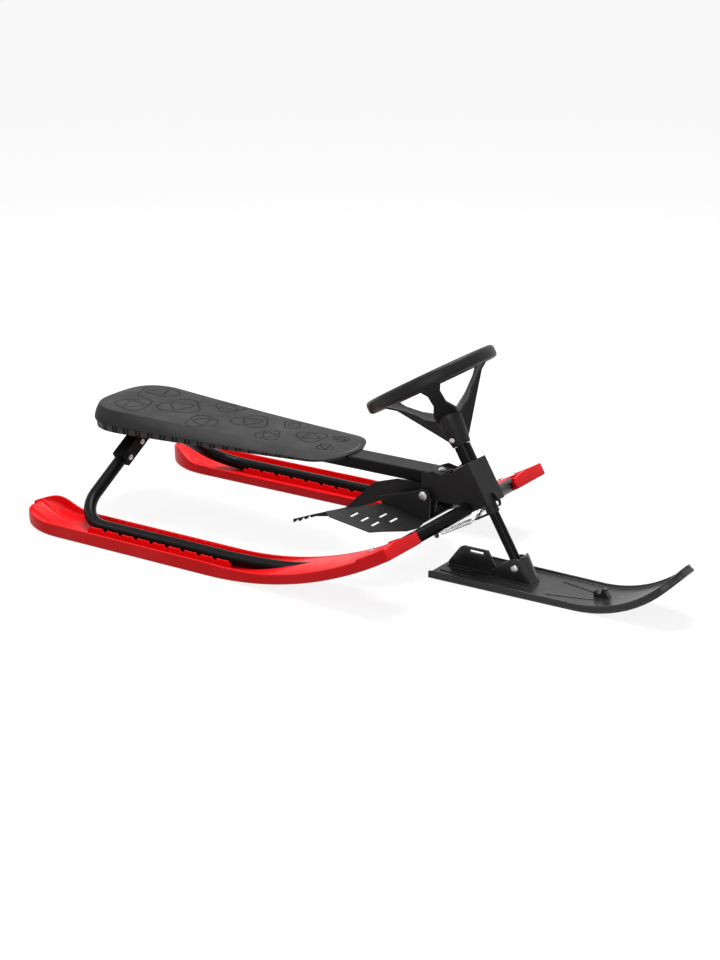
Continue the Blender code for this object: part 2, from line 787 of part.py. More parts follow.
def tube_route(side):
    """Return a frame tube's path and the places where it leaves the leg bend and the runner."""
    radius = ARM_RISE_RADIUS
    foot = at(LEG_STATION, side * RUNNER_SPREAD, TUBE_HEIGHT)
    rise = foot.copy()
    rise.x = at(RUNNER_FLAT_END + radius * math.tan(ARM_TANGENT / 2), 0.0, 0.0).x
    elbow = rise.copy()
    elbow.x = at(ARM_STATION, 0.0, 0.0).x
    elbow.z += (elbow.x - rise.x) * math.tan(ARM_TANGENT)
    end = at(ARM_END_STATION, side * (HOUSING_HALF + FIT), ARM_END_HEIGHT)
    corners = [leg_point(side, LEG_TOP_OFFSET), foot, rise, elbow, end]
    bends = [(LEG_BEND, None), (radius, math.radians(3.2)), (ARM_BEND, None)]
    turn = leg_direction(side).angle(Vector((1, 0, 0)))
    bend_end = LEG_STATION + LEG_BEND * math.tan((math.pi - turn) / 2)
    arm = (end - elbow).normalized()
    crossing = elbow + arm * ((RUNNER_WIDTH / 2) / abs(arm.y))
    slope = runner_slope_at(crossing.x + MIDDLE)
    middle = RUNNER_FLAT_END + RUNNER_RISE_RADIUS * slope
    reach = (TUBE_RADIUS + TUBE_SEAT) / abs(arm.y) + RUNNER_WALL
    return {
        "path": fillet_path(corners, bends),
        "leg_bend_end": bend_end,
        "wall_gap": (middle - reach, middle + reach * 1.3),
        "arm": arm,
        "end": end,
    }


def make_frame_tube(side, route):
    """Make one bent frame tube with the cross holes of its two socket bolts."""
    plane = (route["end"], Vector((0, 1, 0)))
    tube = sweep(route["path"], TUBE_RADIUS, end_plane=plane)
    for offset in SOCKET_BOLT_OFFSETS.values():
        tube = cut(tube, socket_bolt_hole(side, offset))
    return tube


def socket_axes(side):
    """Return a leg's direction and the two directions across its socket."""
    way = leg_direction(side)
    along_x = (Vector((1, 0, 0)) - way * way.x).normalized()
    return way, along_x, way.cross(along_x)


def socket_bolt_hole(side, offset):
    """Make the cutter for a socket bolt's hole."""
    _, along_x, _ = socket_axes(side)
    centre = leg_point(side, offset)
    reach = along_x * TUBE_RADIUS * 2
    return rod(SMALL_BOLT_RADIUS + BOLT_CLEARANCE, centre - reach, centre + reach)


def make_leg_socket(side):
    """Make the square socket that takes a leg under the beam."""
    way, along_x, third = socket_axes(side)
    inner = TUBE_RADIUS + FIT
    outer = inner + SOCKET_WALL

    def square(half, offset):
        """Return the square ring of a half width at a distance from the centre plane."""
        centre = leg_point(side, offset)
        signs = ((-1, -1), (1, -1), (1, 1), (-1, 1))
        return [centre + along_x * half * a + third * half * b for a, b in signs]

    shell = loft([square(outer, SOCKET_END_OFFSET), square(outer, -TUBE_RADIUS)])
    shell = cut(shell, loft([square(inner, SOCKET_END_OFFSET + 0.01), square(inner, -TUBE_RADIUS * 2)]))
    near = leg_point(side, 0.0)
    low = near + Vector((-0.1, 0.0, -0.1))
    high = near + Vector((0.1, 0.0, 0.1))
    low.y, high.y = sorted((-side * 0.1, side * SOCKET_GAP / 2))
    shell = cut(shell, block(low, high))
    low.y, high.y = -0.1, 0.1
    low.z = BEAM_BOTTOM - FIT
    shell = cut(shell, block(low, high))
    for offset in SOCKET_BOLT_OFFSETS.values():
        shell = cut(shell, socket_bolt_hole(side, offset))
    return shell


def make_socket_bolt(side, offset):
    """Make one cross bolt of a leg socket, its head behind and its nut ahead."""
    _, along_x, _ = socket_axes(side)
    half = TUBE_RADIUS + FIT + SOCKET_WALL + FIT
    shape = bolt(SMALL_BOLT_RADIUS, SMALL_HEAD_RADIUS, SMALL_HEAD_HEIGHT, 2 * half)
    return pointing(shape, leg_point(side, offset) - along_x * half, -along_x)


def rounded_rectangle(half_width, half_height, corner, steps=3):
    """Return a rounded rectangle's outline as (a, b) pairs."""
    points = []
    for a, b, start in ((1, 1, 0), (-1, 1, 90), (-1, -1, 180), (1, -1, 270)):
        centre = (a * (half_width - corner), b * (half_height - corner))
        points += arc(centre, corner, start, start + 90, steps)
    return points


def beam_prism(half_width, half_height, corner, start, end):
    """Make a solid of the beam's section between two stations."""
    middle = BEAM_TOP - BEAM_HEIGHT / 2

    def place(a, b, depth):
        """Put a section's point at a station."""
        return at(depth, a, middle + b)

    return prism(rounded_rectangle(half_width, half_height, corner), start, end, place)


def make_beam():
    """Make the centre beam, open at both ends, with its bolt holes."""
    beam = beam_prism(BEAM_WIDTH / 2, BEAM_HEIGHT / 2, BEAM_CORNER, BEAM_START, BEAM_END)
    inner = (BEAM_WIDTH / 2 - BEAM_WALL, BEAM_HEIGHT / 2 - BEAM_WALL, BEAM_CORNER - BEAM_WALL)
    beam = cut(beam, beam_prism(*inner, BEAM_START - BEAM_WALL, BEAM_END + BEAM_WALL))
    for station, radius in beam_holes():
        low = at(station, 0.0, BEAM_BOTTOM - BEAM_HEIGHT)
        beam = cut(beam, rod(radius + BOLT_CLEARANCE, low, low + Vector((0, 0, BEAM_HEIGHT * 3))))
    return beam


def beam_holes():
    """Return the station and bolt radius of each upright hole in the beam."""
    holes = [(station, SMALL_BOLT_RADIUS) for station in SEAT_BOLT_STATIONS.values()]
    return holes + [(BEAM_BOLT_STATION, SMALL_BOLT_RADIUS)]


def make_beam_plug():
    """Make the plug in the beam's rear end."""
    flange = beam_prism(
        BEAM_WIDTH / 2, BEAM_HEIGHT / 2, BEAM_CORNER, BEAM_START - FIT - PLUG_FLANGE, BEAM_START - FIT
    )
    play = BEAM_WALL + FIT
    spigot = beam_prism(
        BEAM_WIDTH / 2 - play,
        BEAM_HEIGHT / 2 - play,
        BEAM_CORNER - BEAM_WALL,
        BEAM_START - FIT - PLUG_FLANGE / 2,
        BEAM_START + PLUG_DEPTH,
    )
    return join(flange, spigot)


def seat_half_width(station):
    """Return the seat's half width at a station, rounded at both ends."""
    share = max(0.0, (station - SEAT_TAPER_START) / (SEAT_END - SEAT_TAPER_START))
    full = SEAT_HALF_WIDTH + (SEAT_NOSE_HALF_WIDTH - SEAT_HALF_WIDTH) * share ** SEAT_TAPER_EASE
    rear = rounding(station - SEAT_START, SEAT_REAR_ROUNDING, SEAT_REAR_POWER)
    nose = rounding(SEAT_END - station, SEAT_NOSE_ROUNDING, SEAT_NOSE_POWER)
    return full * rear * nose


def crease_half_width(station):
    """Return the half width of the crease round the seat's top at a station within it."""
    share = max(0.0, (station - CREASE_TAPER_START) / (CREASE_END - CREASE_TAPER_START))
    full = CREASE_HALF_WIDTH + (CREASE_NOSE_HALF_WIDTH - CREASE_HALF_WIDTH) * share ** CREASE_TAPER_EASE
    rear = rounding(station - CREASE_START, CREASE_REAR_ROUNDING, CREASE_REAR_POWER)
    nose = rounding(CREASE_END - station, CREASE_NOSE_ROUNDING, CREASE_NOSE_POWER)
    return full * rear * nose


def crease_height(station):
    """Return the height of the crease, which falls to one low height at both ends of the seat."""
    share = (station - CREASE_START) / (CREASE_END - CREASE_START)
    clear = min(max(share, 0.0), 1.0)
    thickness = PAD_REAR_THICKNESS + (PAD_FRONT_THICKNESS - PAD_REAR_THICKNESS) * clear
    behind = max(0.0, (CREASE_START - station) / (CREASE_START - SEAT_START))
    ahead = max(0.0, (station - CREASE_END) / (SEAT_END - CREASE_END))
    return SEAT_PAN_TOP + thickness + (PAD_END_THICKNESS - thickness) * max(behind, ahead)


def seat_stations(inset):
    """Return the stations of the seat's sections between its two rounded ends."""
    steps = 6
    quarter = [1 - math.cos(math.pi / 2 * step / steps) for step in range(steps + 1)]
    rear = [SEAT_START + inset + SEAT_REAR_ROUNDING * share for share in quarter]
    nose = [SEAT_END - inset - SEAT_NOSE_ROUNDING * share for share in quarter]
    middle = []
    gap = nose[-1] - rear[-1]
    for step in range(1, 8):
        middle.append(rear[-1] + gap * step / 8)
    return sorted(rear + middle + nose)


def seat_run(station):
    """Return the share of the seat's length that lies behind a station."""
    return (station - SEAT_START) / (SEAT_END - SEAT_START)


def seat_split(station):
    """Return the height of the line between the pad's side band and the base."""
    return SEAT_SPLIT_REAR + (SEAT_SPLIT_FRONT - SEAT_SPLIT_REAR) * seat_run(station)


def pan_half_width(half):
    """Return the half width of the base's raised pan, for the half width of its edge."""
    return max(half - SEAT_PAN_MARGIN, half * 0.4)


def make_seat_pad():
    """Make the seat's pad: crowned top in a crease, band sloping outwards and a recess for the base."""
    rings = []
    for station in seat_stations(0.0):
        clear = min(max(station - SEAT_START, 0.0015), max(SEAT_END - station, 0.0015))
        spot = min(max(station, SEAT_START + 0.0015), SEAT_END - 0.0015)
        half = seat_half_width(spot)
        split = seat_split(station)
        fullness = rounding(clear, SEAT_SHOULDER * 2, 2.0)
        edge = half - SEAT_BASE_INSET * fullness
        pan = pan_half_width(edge) + FIT
        within = min(max(spot, CREASE_START + CREASE_MARGIN), CREASE_END - CREASE_MARGIN)
        top = min(crease_half_width(within), half - CREASE_STEP)
        crease = crease_height(station)
        shoulder = max(top - SEAT_SHOULDER, top * 0.5)
        crown = SEAT_CROWN * fullness
        right = [
            (pan, SEAT_PAN_TOP + FIT),
            (pan, split),
            (edge, split),
            ((half + top) / 2 + SEAT_BAND_BULGE * fullness, (split + crease) / 2),
            (top, crease),
            (shoulder, crease + crown * 0.62),
            (shoulder * 0.55, crease + crown * 0.9),
        ]
        ring = [(-a, b) for a, b in right] + [(0.0, crease + crown)]
        ring += [(a, b) for a, b in reversed(right)]
        rings.append([at(station, a, b) for a, b in ring])
    return loft(rings)


def make_seat_base():
    """Make the seat's moulded base: a raised pan, a low edge and the channel that takes the beam."""
    rings = []
    for station in seat_stations(SEAT_BASE_INSET):
        spot = min(max(station, SEAT_START + SEAT_BASE_INSET), SEAT_END - SEAT_BASE_INSET)
        half = seat_half_width(spot) - SEAT_BASE_INSET * 1.6
        top = seat_split(station) - FIT
        pan = pan_half_width(half) - FIT
        bottom = SEAT_BASE_REAR + (SEAT_BASE_FRONT - SEAT_BASE_REAR) * seat_run(station)
        right = [
            (pan, SEAT_PAN_TOP),
            (pan, top),
            (half, top),
            (half, (bottom + top) / 2),
            (half - 0.001, bottom),
        ]
        ring = right + [(-a, b) for a, b in reversed(right)]
        rings.append([at(station, a, b) for a, b in ring])
    base = loft(rings)
    groove_top = BEAM_TOP + FIT
    low = at(BEAM_START - PLUG_FLANGE - FIT * 3, -BEAM_WIDTH / 2 - FIT * 2, SEAT_BASE_REAR - 0.01)
    high = at(SEAT_END + 0.01, BEAM_WIDTH / 2 + FIT * 2, groove_top)
    base = cut(base, block(low, high))
    for station in SEAT_BOLT_STATIONS.values():
        foot = at(station, 0.0, groove_top - 0.004)
        hole = rod(SMALL_BOLT_RADIUS + BOLT_CLEARANCE, foot, foot + Vector((0, 0, 0.012)))
        base = cut(base, hole)
    return base


def make_seat_bolt(station):
    """Make a bolt that holds the seat on the beam from below."""
    grip = SEAT_PAN_TOP - FIT * 2 - (BEAM_BOTTOM - FIT)
    shape = bolt(SMALL_BOLT_RADIUS, SMALL_HEAD_RADIUS, SMALL_HEAD_HEIGHT, grip, nut=False)
    return pointing(shape, at(station, 0.0, BEAM_BOTTOM - FIT), Vector((0, 0, -1)))


def column_point(along, ahead, side_offset=0.0):
    """Return the world point at a distance along the column's axis and ahead of it."""
    up = Vector((-math.sin(COLUMN_RAKE), 0.0, math.cos(COLUMN_RAKE)))
    forward = Vector((math.cos(COLUMN_RAKE), 0.0, math.sin(COLUMN_RAKE)))
    point = at(COLUMN_STATION, side_offset, COLUMN_HEIGHT) + up * along + forward * ahead
    return point


def housing_outline():
    """Return the side outline of the housing in world X and Z."""
    head = column_point(HOUSING_HEAD, HOUSING_FACE_AHEAD)
    foot = column_point(HOUSING_FOOT, HOUSING_FACE_AHEAD)
    heel = column_point(HOUSING_FOOT + HOUSING_SHEET, -HOUSING_NECK_BEHIND * 0.65)
    saddle = column_point(HOUSING_HEAD - HOUSING_SHEET, -HOUSING_NECK_BEHIND * 0.93)
    axle = at(AXLE_STATION, 0.0, AXLE_HEIGHT)
    bolt_x = at(BEAM_BOLT_STATION, 0.0, 0.0).x
    points = [(head.x, head.z), (foot.x, foot.z), (heel.x, heel.z)]
    points.append((axle.x + HOUSING_BELLY_AHEAD, BEAM_BOTTOM - HOUSING_BELLY_DROP))
    points.append((axle.x + HOUSING_EAR_AHEAD, BEAM_BOTTOM - HOUSING_EAR_DROP))
    points += arc((axle.x, axle.z), EAR_ROUNDING + HOUSING_EAR_MARGIN, 300, 165, 6)
    points.append((axle.x - HOUSING_REAR_BEHIND, BEAM_TOP - HOUSING_REAR_DROP))
    points.append((axle.x + HOUSING_PEAK_AHEAD, BEAM_TOP + HOUSING_PEAK_RISE))
    points.append((bolt_x + HOUSING_DIP_AHEAD, BEAM_TOP + HOUSING_DIP_RISE))
    points.append((bolt_x + HOUSING_SHOULDER_AHEAD, BEAM_TOP + HOUSING_SHOULDER_RISE))
    points.append((saddle.x, saddle.z))
    return points


def make_housing():
    """Make the folded housing: two side plates, a front face and a bridge under the beam."""
    shell = prism(housing_outline(), -HOUSING_HALF, HOUSING_HALF, upright)
    inner_ahead = HOUSING_FACE_AHEAD - HOUSING_SHEET
    far = COLUMN_TOP * 2
    corners = [
        column_point(-far, inner_ahead),
        column_point(far, inner_ahead),
        column_point(far, -far),
        column_point(-far, -far),
    ]
    outline = [(corner.x, corner.z) for corner in corners]
    shell = cut(shell, prism(outline, -HOUSING_INNER_HALF, HOUSING_INNER_HALF, upright))
    reach = HOUSING_INNER_HALF + HOUSING_SHEET / 2
    top = BEAM_BOTTOM - FIT
    low = at(BEAM_BOLT_STATION - BRIDGE_LENGTH / 2, -reach, top - HOUSING_SHEET)
    high = at(BEAM_BOLT_STATION + BRIDGE_LENGTH / 2, reach, top)
    shell = join(shell, block(low, high))
    centre = at(BEAM_BOLT_STATION, 0.0, top)
    drop = Vector((0, 0, 0.01))
    shell = cut(shell, rod(SMALL_BOLT_RADIUS + BOLT_CLEARANCE, centre - drop, centre + drop))
    axle = at(AXLE_STATION, 0.0, AXLE_HEIGHT)
    reach = Vector((0, HOUSING_HALF * 1.5, 0))
    return cut(shell, rod(AXLE_RADIUS + BOLT_CLEARANCE, axle - reach, axle + reach))


def make_tow_hook():
    """Make the hooked tab that hangs in front of the housing's foot."""
    base = column_point(HOUSING_FOOT, HOUSING_FACE_AHEAD + FIT)
    up = (column_point(1, 0) - column_point(0, 0)).normalized()
    ahead = (column_point(0, 1) - column_point(0, 0)).normalized()
    outline = []
    for forward, rise in HOOK_PROFILE:
        spot = base + (ahead * forward + up * rise) * HOOK_HEIGHT
        outline.append((spot.x, spot.z))
    return prism(outline, -HOOK_THICKNESS / 2, HOOK_THICKNESS / 2, upright)


def make_bush(low_along):
    """Make a block inside the housing that carries the column."""
    front = HOUSING_FACE_AHEAD - HOUSING_SHEET - FIT
    half = HOUSING_INNER_HALF - FIT
    corners = ((low_along, front), (low_along + BUSH_THICKNESS, front))
    corners += ((low_along + BUSH_THICKNESS, front - BUSH_DEPTH), (low_along, front - BUSH_DEPTH))
    outline = []
    for along, ahead in corners:
        spot = column_point(along, ahead)
        outline.append((spot.x, spot.z))
    body = prism(outline, -half, half, upright)
    return cut(body, rod(BORE_RADIUS, column_point(low_along - 0.01, 0.0), column_point(0.11, 0.0), 20))


def make_tube_clamp(route):
    """Make the silver band round a frame tube near the housing."""
    arm = route["arm"]
    centre = route["end"] - arm * ((CLAMP_OFFSET - HOUSING_HALF) / abs(arm.y))
    inner = TUBE_RADIUS + FIT
    half = CLAMP_WIDTH / 2
    rows = [
        (inner, -half, False),
        (inner + CLAMP_THICKNESS, -half, False),
        (inner + CLAMP_THICKNESS, half, False),
        (inner, half, False),
    ]
    sides = TUBE_SIDES * 2
    rings = []
    for radius, height, _ in rows:
        rings.append([Vector((a, b, height)) for a, b in circle(radius, sides)])
    return pointing(loft(rings, closed=True), centre, arm)


def make_column():
    """Make the grooved steering column in its own frame, with the eye for the ski's bolt."""
    outline = []
    for step in range(24):
        angle = 2 * math.pi * step / 24
        groove = max(0.0, math.cos(2 * (angle - math.pi / 2)) - 0.75) * 4
        radius = COLUMN_RADIUS - COLUMN_GROOVE * groove
        outline.append((radius * math.cos(angle), radius * math.sin(angle)))
    column = prism(outline, SKI_PIVOT_ALONG - COLUMN_FOOT_OVERHANG, COLUMN_TOP, flat)
    reach = Vector((0, COLUMN_RADIUS * 2, 0))
    eye = Vector((0, 0, SKI_PIVOT_ALONG))
    column = cut(column, rod(BOLT_RADIUS + BOLT_CLEARANCE, eye - reach, eye + reach))
    hub = Vector((0, 0, HUB_BOLT_ALONG))
    return cut(column, rod(SMALL_BOLT_RADIUS + BOLT_CLEARANCE, hub - reach, hub + reach))


def ring_tube(inner, outer, low, high, sides=20):
    """Make an upright tube."""
    rings = []
    for radius, height in ((inner, low), (outer, low), (outer, high), (inner, high)):
        rings.append([Vector((a, b, height)) for a, b in circle(radius, sides)])
    return loft(rings, closed=True)


def lever_tip():
    """Return the lever's tip in the column's frame."""
    return Vector((-LEVER_REACH, 0.0, HOUSING_FOOT - FIT * 2 - LEVER_COLLAR_HEIGHT + LEVER_THICKNESS / 2))


def make_spring_lever():
    """Make the collar and arm below the housing that the springs pull on."""
    top = HOUSING_FOOT - FIT * 2
    low = top - LEVER_COLLAR_HEIGHT
    outer = COLUMN_RADIUS + FIT + COLLAR_WALL
    collar = turned([(outer, low, False), (outer, top, False)], 20)
    half = LEVER_WIDTH / 2
    outline = [(0.0, -outer * 0.9), (0.0, outer * 0.9)]
    outline += arc((-LEVER_REACH, 0.0), half, 90, 270, 6)
    arm = prism(outline, low + 0.0001, low + LEVER_THICKNESS, flat)
    lever = join(collar, arm)
    bore = rod(COLUMN_RADIUS + FIT, Vector((0, 0, low - 0.01)), Vector((0, 0, top + 0.01)), 24)
    return cut(lever, bore)


def make_wheel():
    """Make the steering wheel: grip ring, conical hub and three flared spokes, two on deep webs."""
    grip = rounded_rectangle(WHEEL_GRIP_WIDTH / 2, WHEEL_GRIP_HEIGHT / 2, 0.006, 2)
    centre = WHEEL_RADIUS - WHEEL_GRIP_WIDTH / 2
    rings = []
    for step in range(WHEEL_STEPS):
        angle = 2 * math.pi * step / WHEEL_STEPS
        ring = []
        for a, b in grip:
            reach = centre + a
            ring.append(Vector((reach * math.cos(angle), reach * math.sin(angle), WHEEL_ALONG + b)))
        rings.append(ring)
    wheel = loft(rings, closed=True)
    bore = COLUMN_RADIUS + FIT
    foot_rows = [
        (HUB_FOOT_RADIUS, HUB_FOOT, False),
        (HUB_FOOT_RADIUS + 0.001, HUB_FOOT + 0.004, False),
        (HUB_TOP_RADIUS, HUB_TOP, False),
    ]
    hub = turned(foot_rows, 20)
    for angle in (60, 180, 300):
        hub = join(hub, moved(make_spoke(), Matrix.Rotation(math.radians(angle), 4, "Z")))
    for angle in (60, 180):
        hub = join(hub, moved(make_spoke_web(), Matrix.Rotation(math.radians(angle), 4, "Z")))
    wheel = join(wheel, hub)
    wheel = cut(wheel, rod(bore, Vector((0, 0, HUB_FOOT - 0.01)), Vector((0, 0, COLUMN_TOP + FIT)), 24))
    reach = Vector((0, HUB_TOP_RADIUS * 1.5, 0))
    centre = Vector((0, 0, HUB_BOLT_ALONG))
    return cut(wheel, rod(SMALL_BOLT_RADIUS + BOLT_CLEARANCE, centre - reach, centre + reach))


def spoke_stops():
    """Return the spoke's stations from hub to rim: distance out, half width and height along."""
    rim = WHEEL_RADIUS - WHEEL_GRIP_WIDTH * 0.75
    hub = HUB_TOP_RADIUS * 0.55
    low = HUB_TOP - SPOKE_THICKNESS * 0.5
    high = WHEEL_ALONG - WHEEL_GRIP_HEIGHT * 0.1
    stops = []
    widths = ((0.0, SPOKE_HUB_WIDTH), (0.22, SPOKE_HUB_WIDTH), (0.45, SPOKE_WAIST_WIDTH))
    widths += ((0.75, SPOKE_WAIST_WIDTH), (1.0, SPOKE_RIM_WIDTH))
    for share, width in widths:
        stops.append((hub + (rim - hub) * share, width / 2, low + (high - low) * share ** 1.15))
    return stops


def make_spoke():
    """Make the flared plate of a spoke, running out along X."""
    rings = []
    for out, half, along in spoke_stops():
        low = along - SPOKE_THICKNESS
        corners = ((-half, low), (half, low), (half, along), (-half, along))
        rings.append([Vector((out, y, z)) for y, z in corners])
    return loft(rings)


def make_spoke_web():
    """Make the deep web under a spoke, from the hub's foot to the rim."""
    rim = WHEEL_RADIUS - WHEEL_GRIP_WIDTH * 0.7
    top = [(out, along - SPOKE_THICKNESS / 2) for out, _, along in spoke_stops()]
    outline = [(HUB_FOOT_RADIUS * 0.6, HUB_FOOT + 0.003), (HUB_FOOT_RADIUS, HUB_FOOT + 0.003)]
    outline += [(rim, WHEEL_ALONG - WHEEL_GRIP_HEIGHT * 0.35), (rim, WHEEL_ALONG)]
    outline += list(reversed(top[:-1]))
    return prism(outline, -SPOKE_WEB_THICKNESS / 2, SPOKE_WEB_THICKNESS / 2, upright)


def make_hub_bolt():
    """Make the bolt across the hub, head on the right."""
    share = (HUB_BOLT_ALONG - HUB_FOOT) / (HUB_TOP - HUB_FOOT)
    half = HUB_FOOT_RADIUS + (HUB_TOP_RADIUS - HUB_FOOT_RADIUS) * share + 0.0022
    shape = bolt(SMALL_BOLT_RADIUS, SMALL_HEAD_RADIUS, SMALL_HEAD_HEIGHT, 2 * half)
    return pointing(shape, Vector((0, -half, HUB_BOLT_ALONG)), Vector((0, -1, 0)))


def coil_points(length):
    """Return the wire's points for a spring along Z with a straight end at each side."""
    radius = SPRING_RADIUS - SPRING_WIRE / 2
    body = length - 2 * SPRING_HOOK
    curls = round(body / SPRING_PITCH)
    steps = curls * SPRING_POINTS_PER_CURL
    points = [Vector((0, 0, 0)), Vector((0, 0, SPRING_WIRE * 1.2))]
    ease = SPRING_POINTS_PER_CURL // 2
    lead = SPRING_HOOK - SPRING_WIRE * 1.2
    for step in range(1, ease):
        share = step / ease
        angle = math.pi * (share - 1)
        height = SPRING_WIRE * 1.2 + lead * share
        spread = radius * share
        points.append(Vector((spread * math.cos(angle), spread * math.sin(angle), height)))
    for step in range(steps + 1):
        angle = 2 * math.pi * step / SPRING_POINTS_PER_CURL
        height = SPRING_HOOK + body * step / steps
        points.append(Vector((radius * math.cos(angle), radius * math.sin(angle), height)))
    last = 2 * math.pi * steps / SPRING_POINTS_PER_CURL
    for step in range(1, ease):
        share = step / ease
        angle = last + math.pi * share
        height = length - SPRING_HOOK + lead * share
        spread = radius * (1 - share)
        points.append(Vector((spread * math.cos(angle), spread * math.sin(angle), height)))
    points.append(Vector((0, 0, length - SPRING_WIRE * 1.2)))
    points.append(Vector((0, 0, length)))
    return points


def spring_ends(side, column_matrix):
    """Return a spring's end at the lever's tip and its end at the tube's lug."""
    tip = column_matrix @ lever_tip()
    lug = lug_place(side)
    way = (lug - tip).normalized()
    return tip + way * (LEVER_WIDTH / 2 + FIT), lug - way * (LUG_THICKNESS / 2 + FIT)


def lug_place(side):
    """Return the point of a lug that a spring pulls on."""
    route = tube_route(side)
    arm = route["arm"]
    on_axis = route["end"] - arm * ((LUG_OFFSET - HOUSING_HALF) / abs(arm.y))
    return on_axis - Vector((0, 0, LUG_DROP))


def make_spring_lug(side, column_matrix):
    """Make the lug under a frame tube, square to its spring and hollowed to the tube."""
    route = tube_route(side)
    place = lug_place(side)
    way = place - column_matrix @ lever_tip()
    way.normalize()
    across = way.cross(Vector((0, 0, 1))).normalized()
    rise = across.cross(way).normalized()
    half = LUG_WIDTH / 2
    outline = arc((0.0, 0.0), half, 180, 360, 6) + [(half, LUG_DROP), (-half, LUG_DROP)]

    def plate(a, b, depth):
        """Put an outline's point across and up the lug's plate."""
        return place + across * a + rise * b + way * depth

    lug = prism(outline, -LUG_THICKNESS / 2, LUG_THICKNESS / 2, plate)
    arm = route["arm"]
    near = route["end"] - arm * 0.005
    far = route["end"] - arm * 0.11
    return cut(lug, rod(TUBE_RADIUS + FIT, far, near, TUBE_SIDES * 2))


def ski_line(distance):
    """Return the station, height and slope of the ski's sole at a distance along it."""
    if distance < SKI_FLAT_END:
        return distance, 0.0, 0.0
    slope = (distance - SKI_FLAT_END) / SKI_RISE_RADIUS
    station = SKI_FLAT_END + SKI_RISE_RADIUS * math.sin(slope)
    return station, SKI_RISE_RADIUS * (1 - math.cos(slope)), slope


def make_ski(pivot):
    """Make the ski in world axes about its pivot, with tower, carrying fin, cleat and tip slot."""
    tip_slope = math.asin((SKI_TIP_STATION - SKI_FLAT_END) / SKI_RISE_RADIUS)
    end = SKI_FLAT_END + SKI_RISE_RADIUS * tip_slope
    steps = 7
    tip = [end - SKI_TIP_ROUNDING * (1 - math.cos(math.pi / 2 * step / steps)) for step in range(steps + 1)]
    flat_stops = [SKI_TAIL_STATION, SKI_TAIL_STATION + 0.006, 0.80, 0.90, SKI_FLAT_END]
    rise = [SKI_FLAT_END + (tip[-1] - SKI_FLAT_END) * step / 9 for step in range(1, 9)]
    rings = []
    for distance in sorted(flat_stops + rise + tip):
        station, height, slope = ski_line(distance)
        share = (distance - SKI_TAIL_STATION) / (end - SKI_TAIL_STATION)
        half = SKI_TAIL_HALF_WIDTH + (SKI_FRONT_HALF_WIDTH - SKI_TAIL_HALF_WIDTH) * share
        half *= rounding(max(end - distance, 0.0012), SKI_TIP_ROUNDING, 2.2)
        rim = min(SKI_RIM_WIDTH, half * 0.2)
        section = [
            (-half + 0.001, 0.0),
            (half - 0.001, 0.0),
            (half, 0.001),
            (half, SKI_RIM),
            (half - rim, SKI_RIM),
            (half - rim * 1.6, SKI_DECK),
            (-half + rim * 1.6, SKI_DECK),
            (-half + rim, SKI_RIM),
            (-half, SKI_RIM),
            (-half, 0.001),
        ]
        ring = []
        for outward, up in section:
            place = at(station - up * math.sin(slope), outward, height + up * math.cos(slope))
            ring.append(place)
        rings.append(ring)
    ski = join(loft(rings), make_tower(pivot), make_fin(), make_cleat())
    station, height, slope = ski_line(TIP_SLOT_STATION + 0.006)
    centre = at(station, 0.0, height)
    slot = block(
        Vector((-TIP_SLOT_LENGTH / 2, -TIP_SLOT_WIDTH / 2, -SKI_RIM * 2)),
        Vector((TIP_SLOT_LENGTH / 2, TIP_SLOT_WIDTH / 2, SKI_RIM * 3)),
    )
    slot = moved(slot, Matrix.Translation(centre) @ Matrix.Rotation(-slope, 4, "Y"))
    ski = cut(ski, slot)
    reach = Vector((0, TOWER_INNER_HALF * 3, 0))
    ski = cut(ski, rod(BOLT_RADIUS + BOLT_CLEARANCE, pivot - reach, pivot + reach))
    return moved(ski, Matrix.Translation(-pivot))


def stadium(half, rear, front, steps=6):
    """Return a plan outline, square at the rear and half round at the front, as (x, y) pairs."""
    points = arc((front - half, 0.0), half, -90, 90, steps)
    return points + [(rear, half), (rear, -half)]


def make_tower(pivot):
    """Make the ski's tower: two cheeks beside the column and a half-round guard ahead of it."""
    deck = SKI_DECK / 2
    lean = math.tan(COLUMN_RAKE - math.radians(4))
    outer = TOWER_INNER_HALF + TOWER_WALL
    top = pivot.z + GUARD_TOP

    def slanted(half, rear, low, high):
        """Make a slanted stadium between two heights."""
        rings = []
        for height in (low, high):
            front = pivot.x + GUARD_AHEAD - (height - pivot.z) * lean - (outer - half)
            rings.append([Vector((a, b, height)) for a, b in stadium(half, rear, front)])
        return loft(rings)

    body = slanted(outer, pivot.x - TOWER_REAR - 0.01, deck, top)
    front = pivot.x + GUARD_AHEAD * 2
    under = deck - SKI_DECK
    over = top + SKI_DECK
    outline = [(pivot.x - TOWER_REAR, under), (front, under), (front, over)]
    outline.append((pivot.x + GUARD_AHEAD * 0.28, over))
    outline += arc((pivot.x, pivot.z), TOWER_CREST, 62, 118, 4)
    outline.append((pivot.x - TOWER_REAR + 0.002, pivot.z - TOWER_SHOULDER))
    body = overlap(body, prism(outline, -TOWER_REAR, TOWER_REAR, upright))
    cavity = slanted(TOWER_INNER_HALF, pivot.x - TOWER_REAR - 0.03, SKI_DECK + 0.0008, top + 0.02)
    return cut(body, cavity)


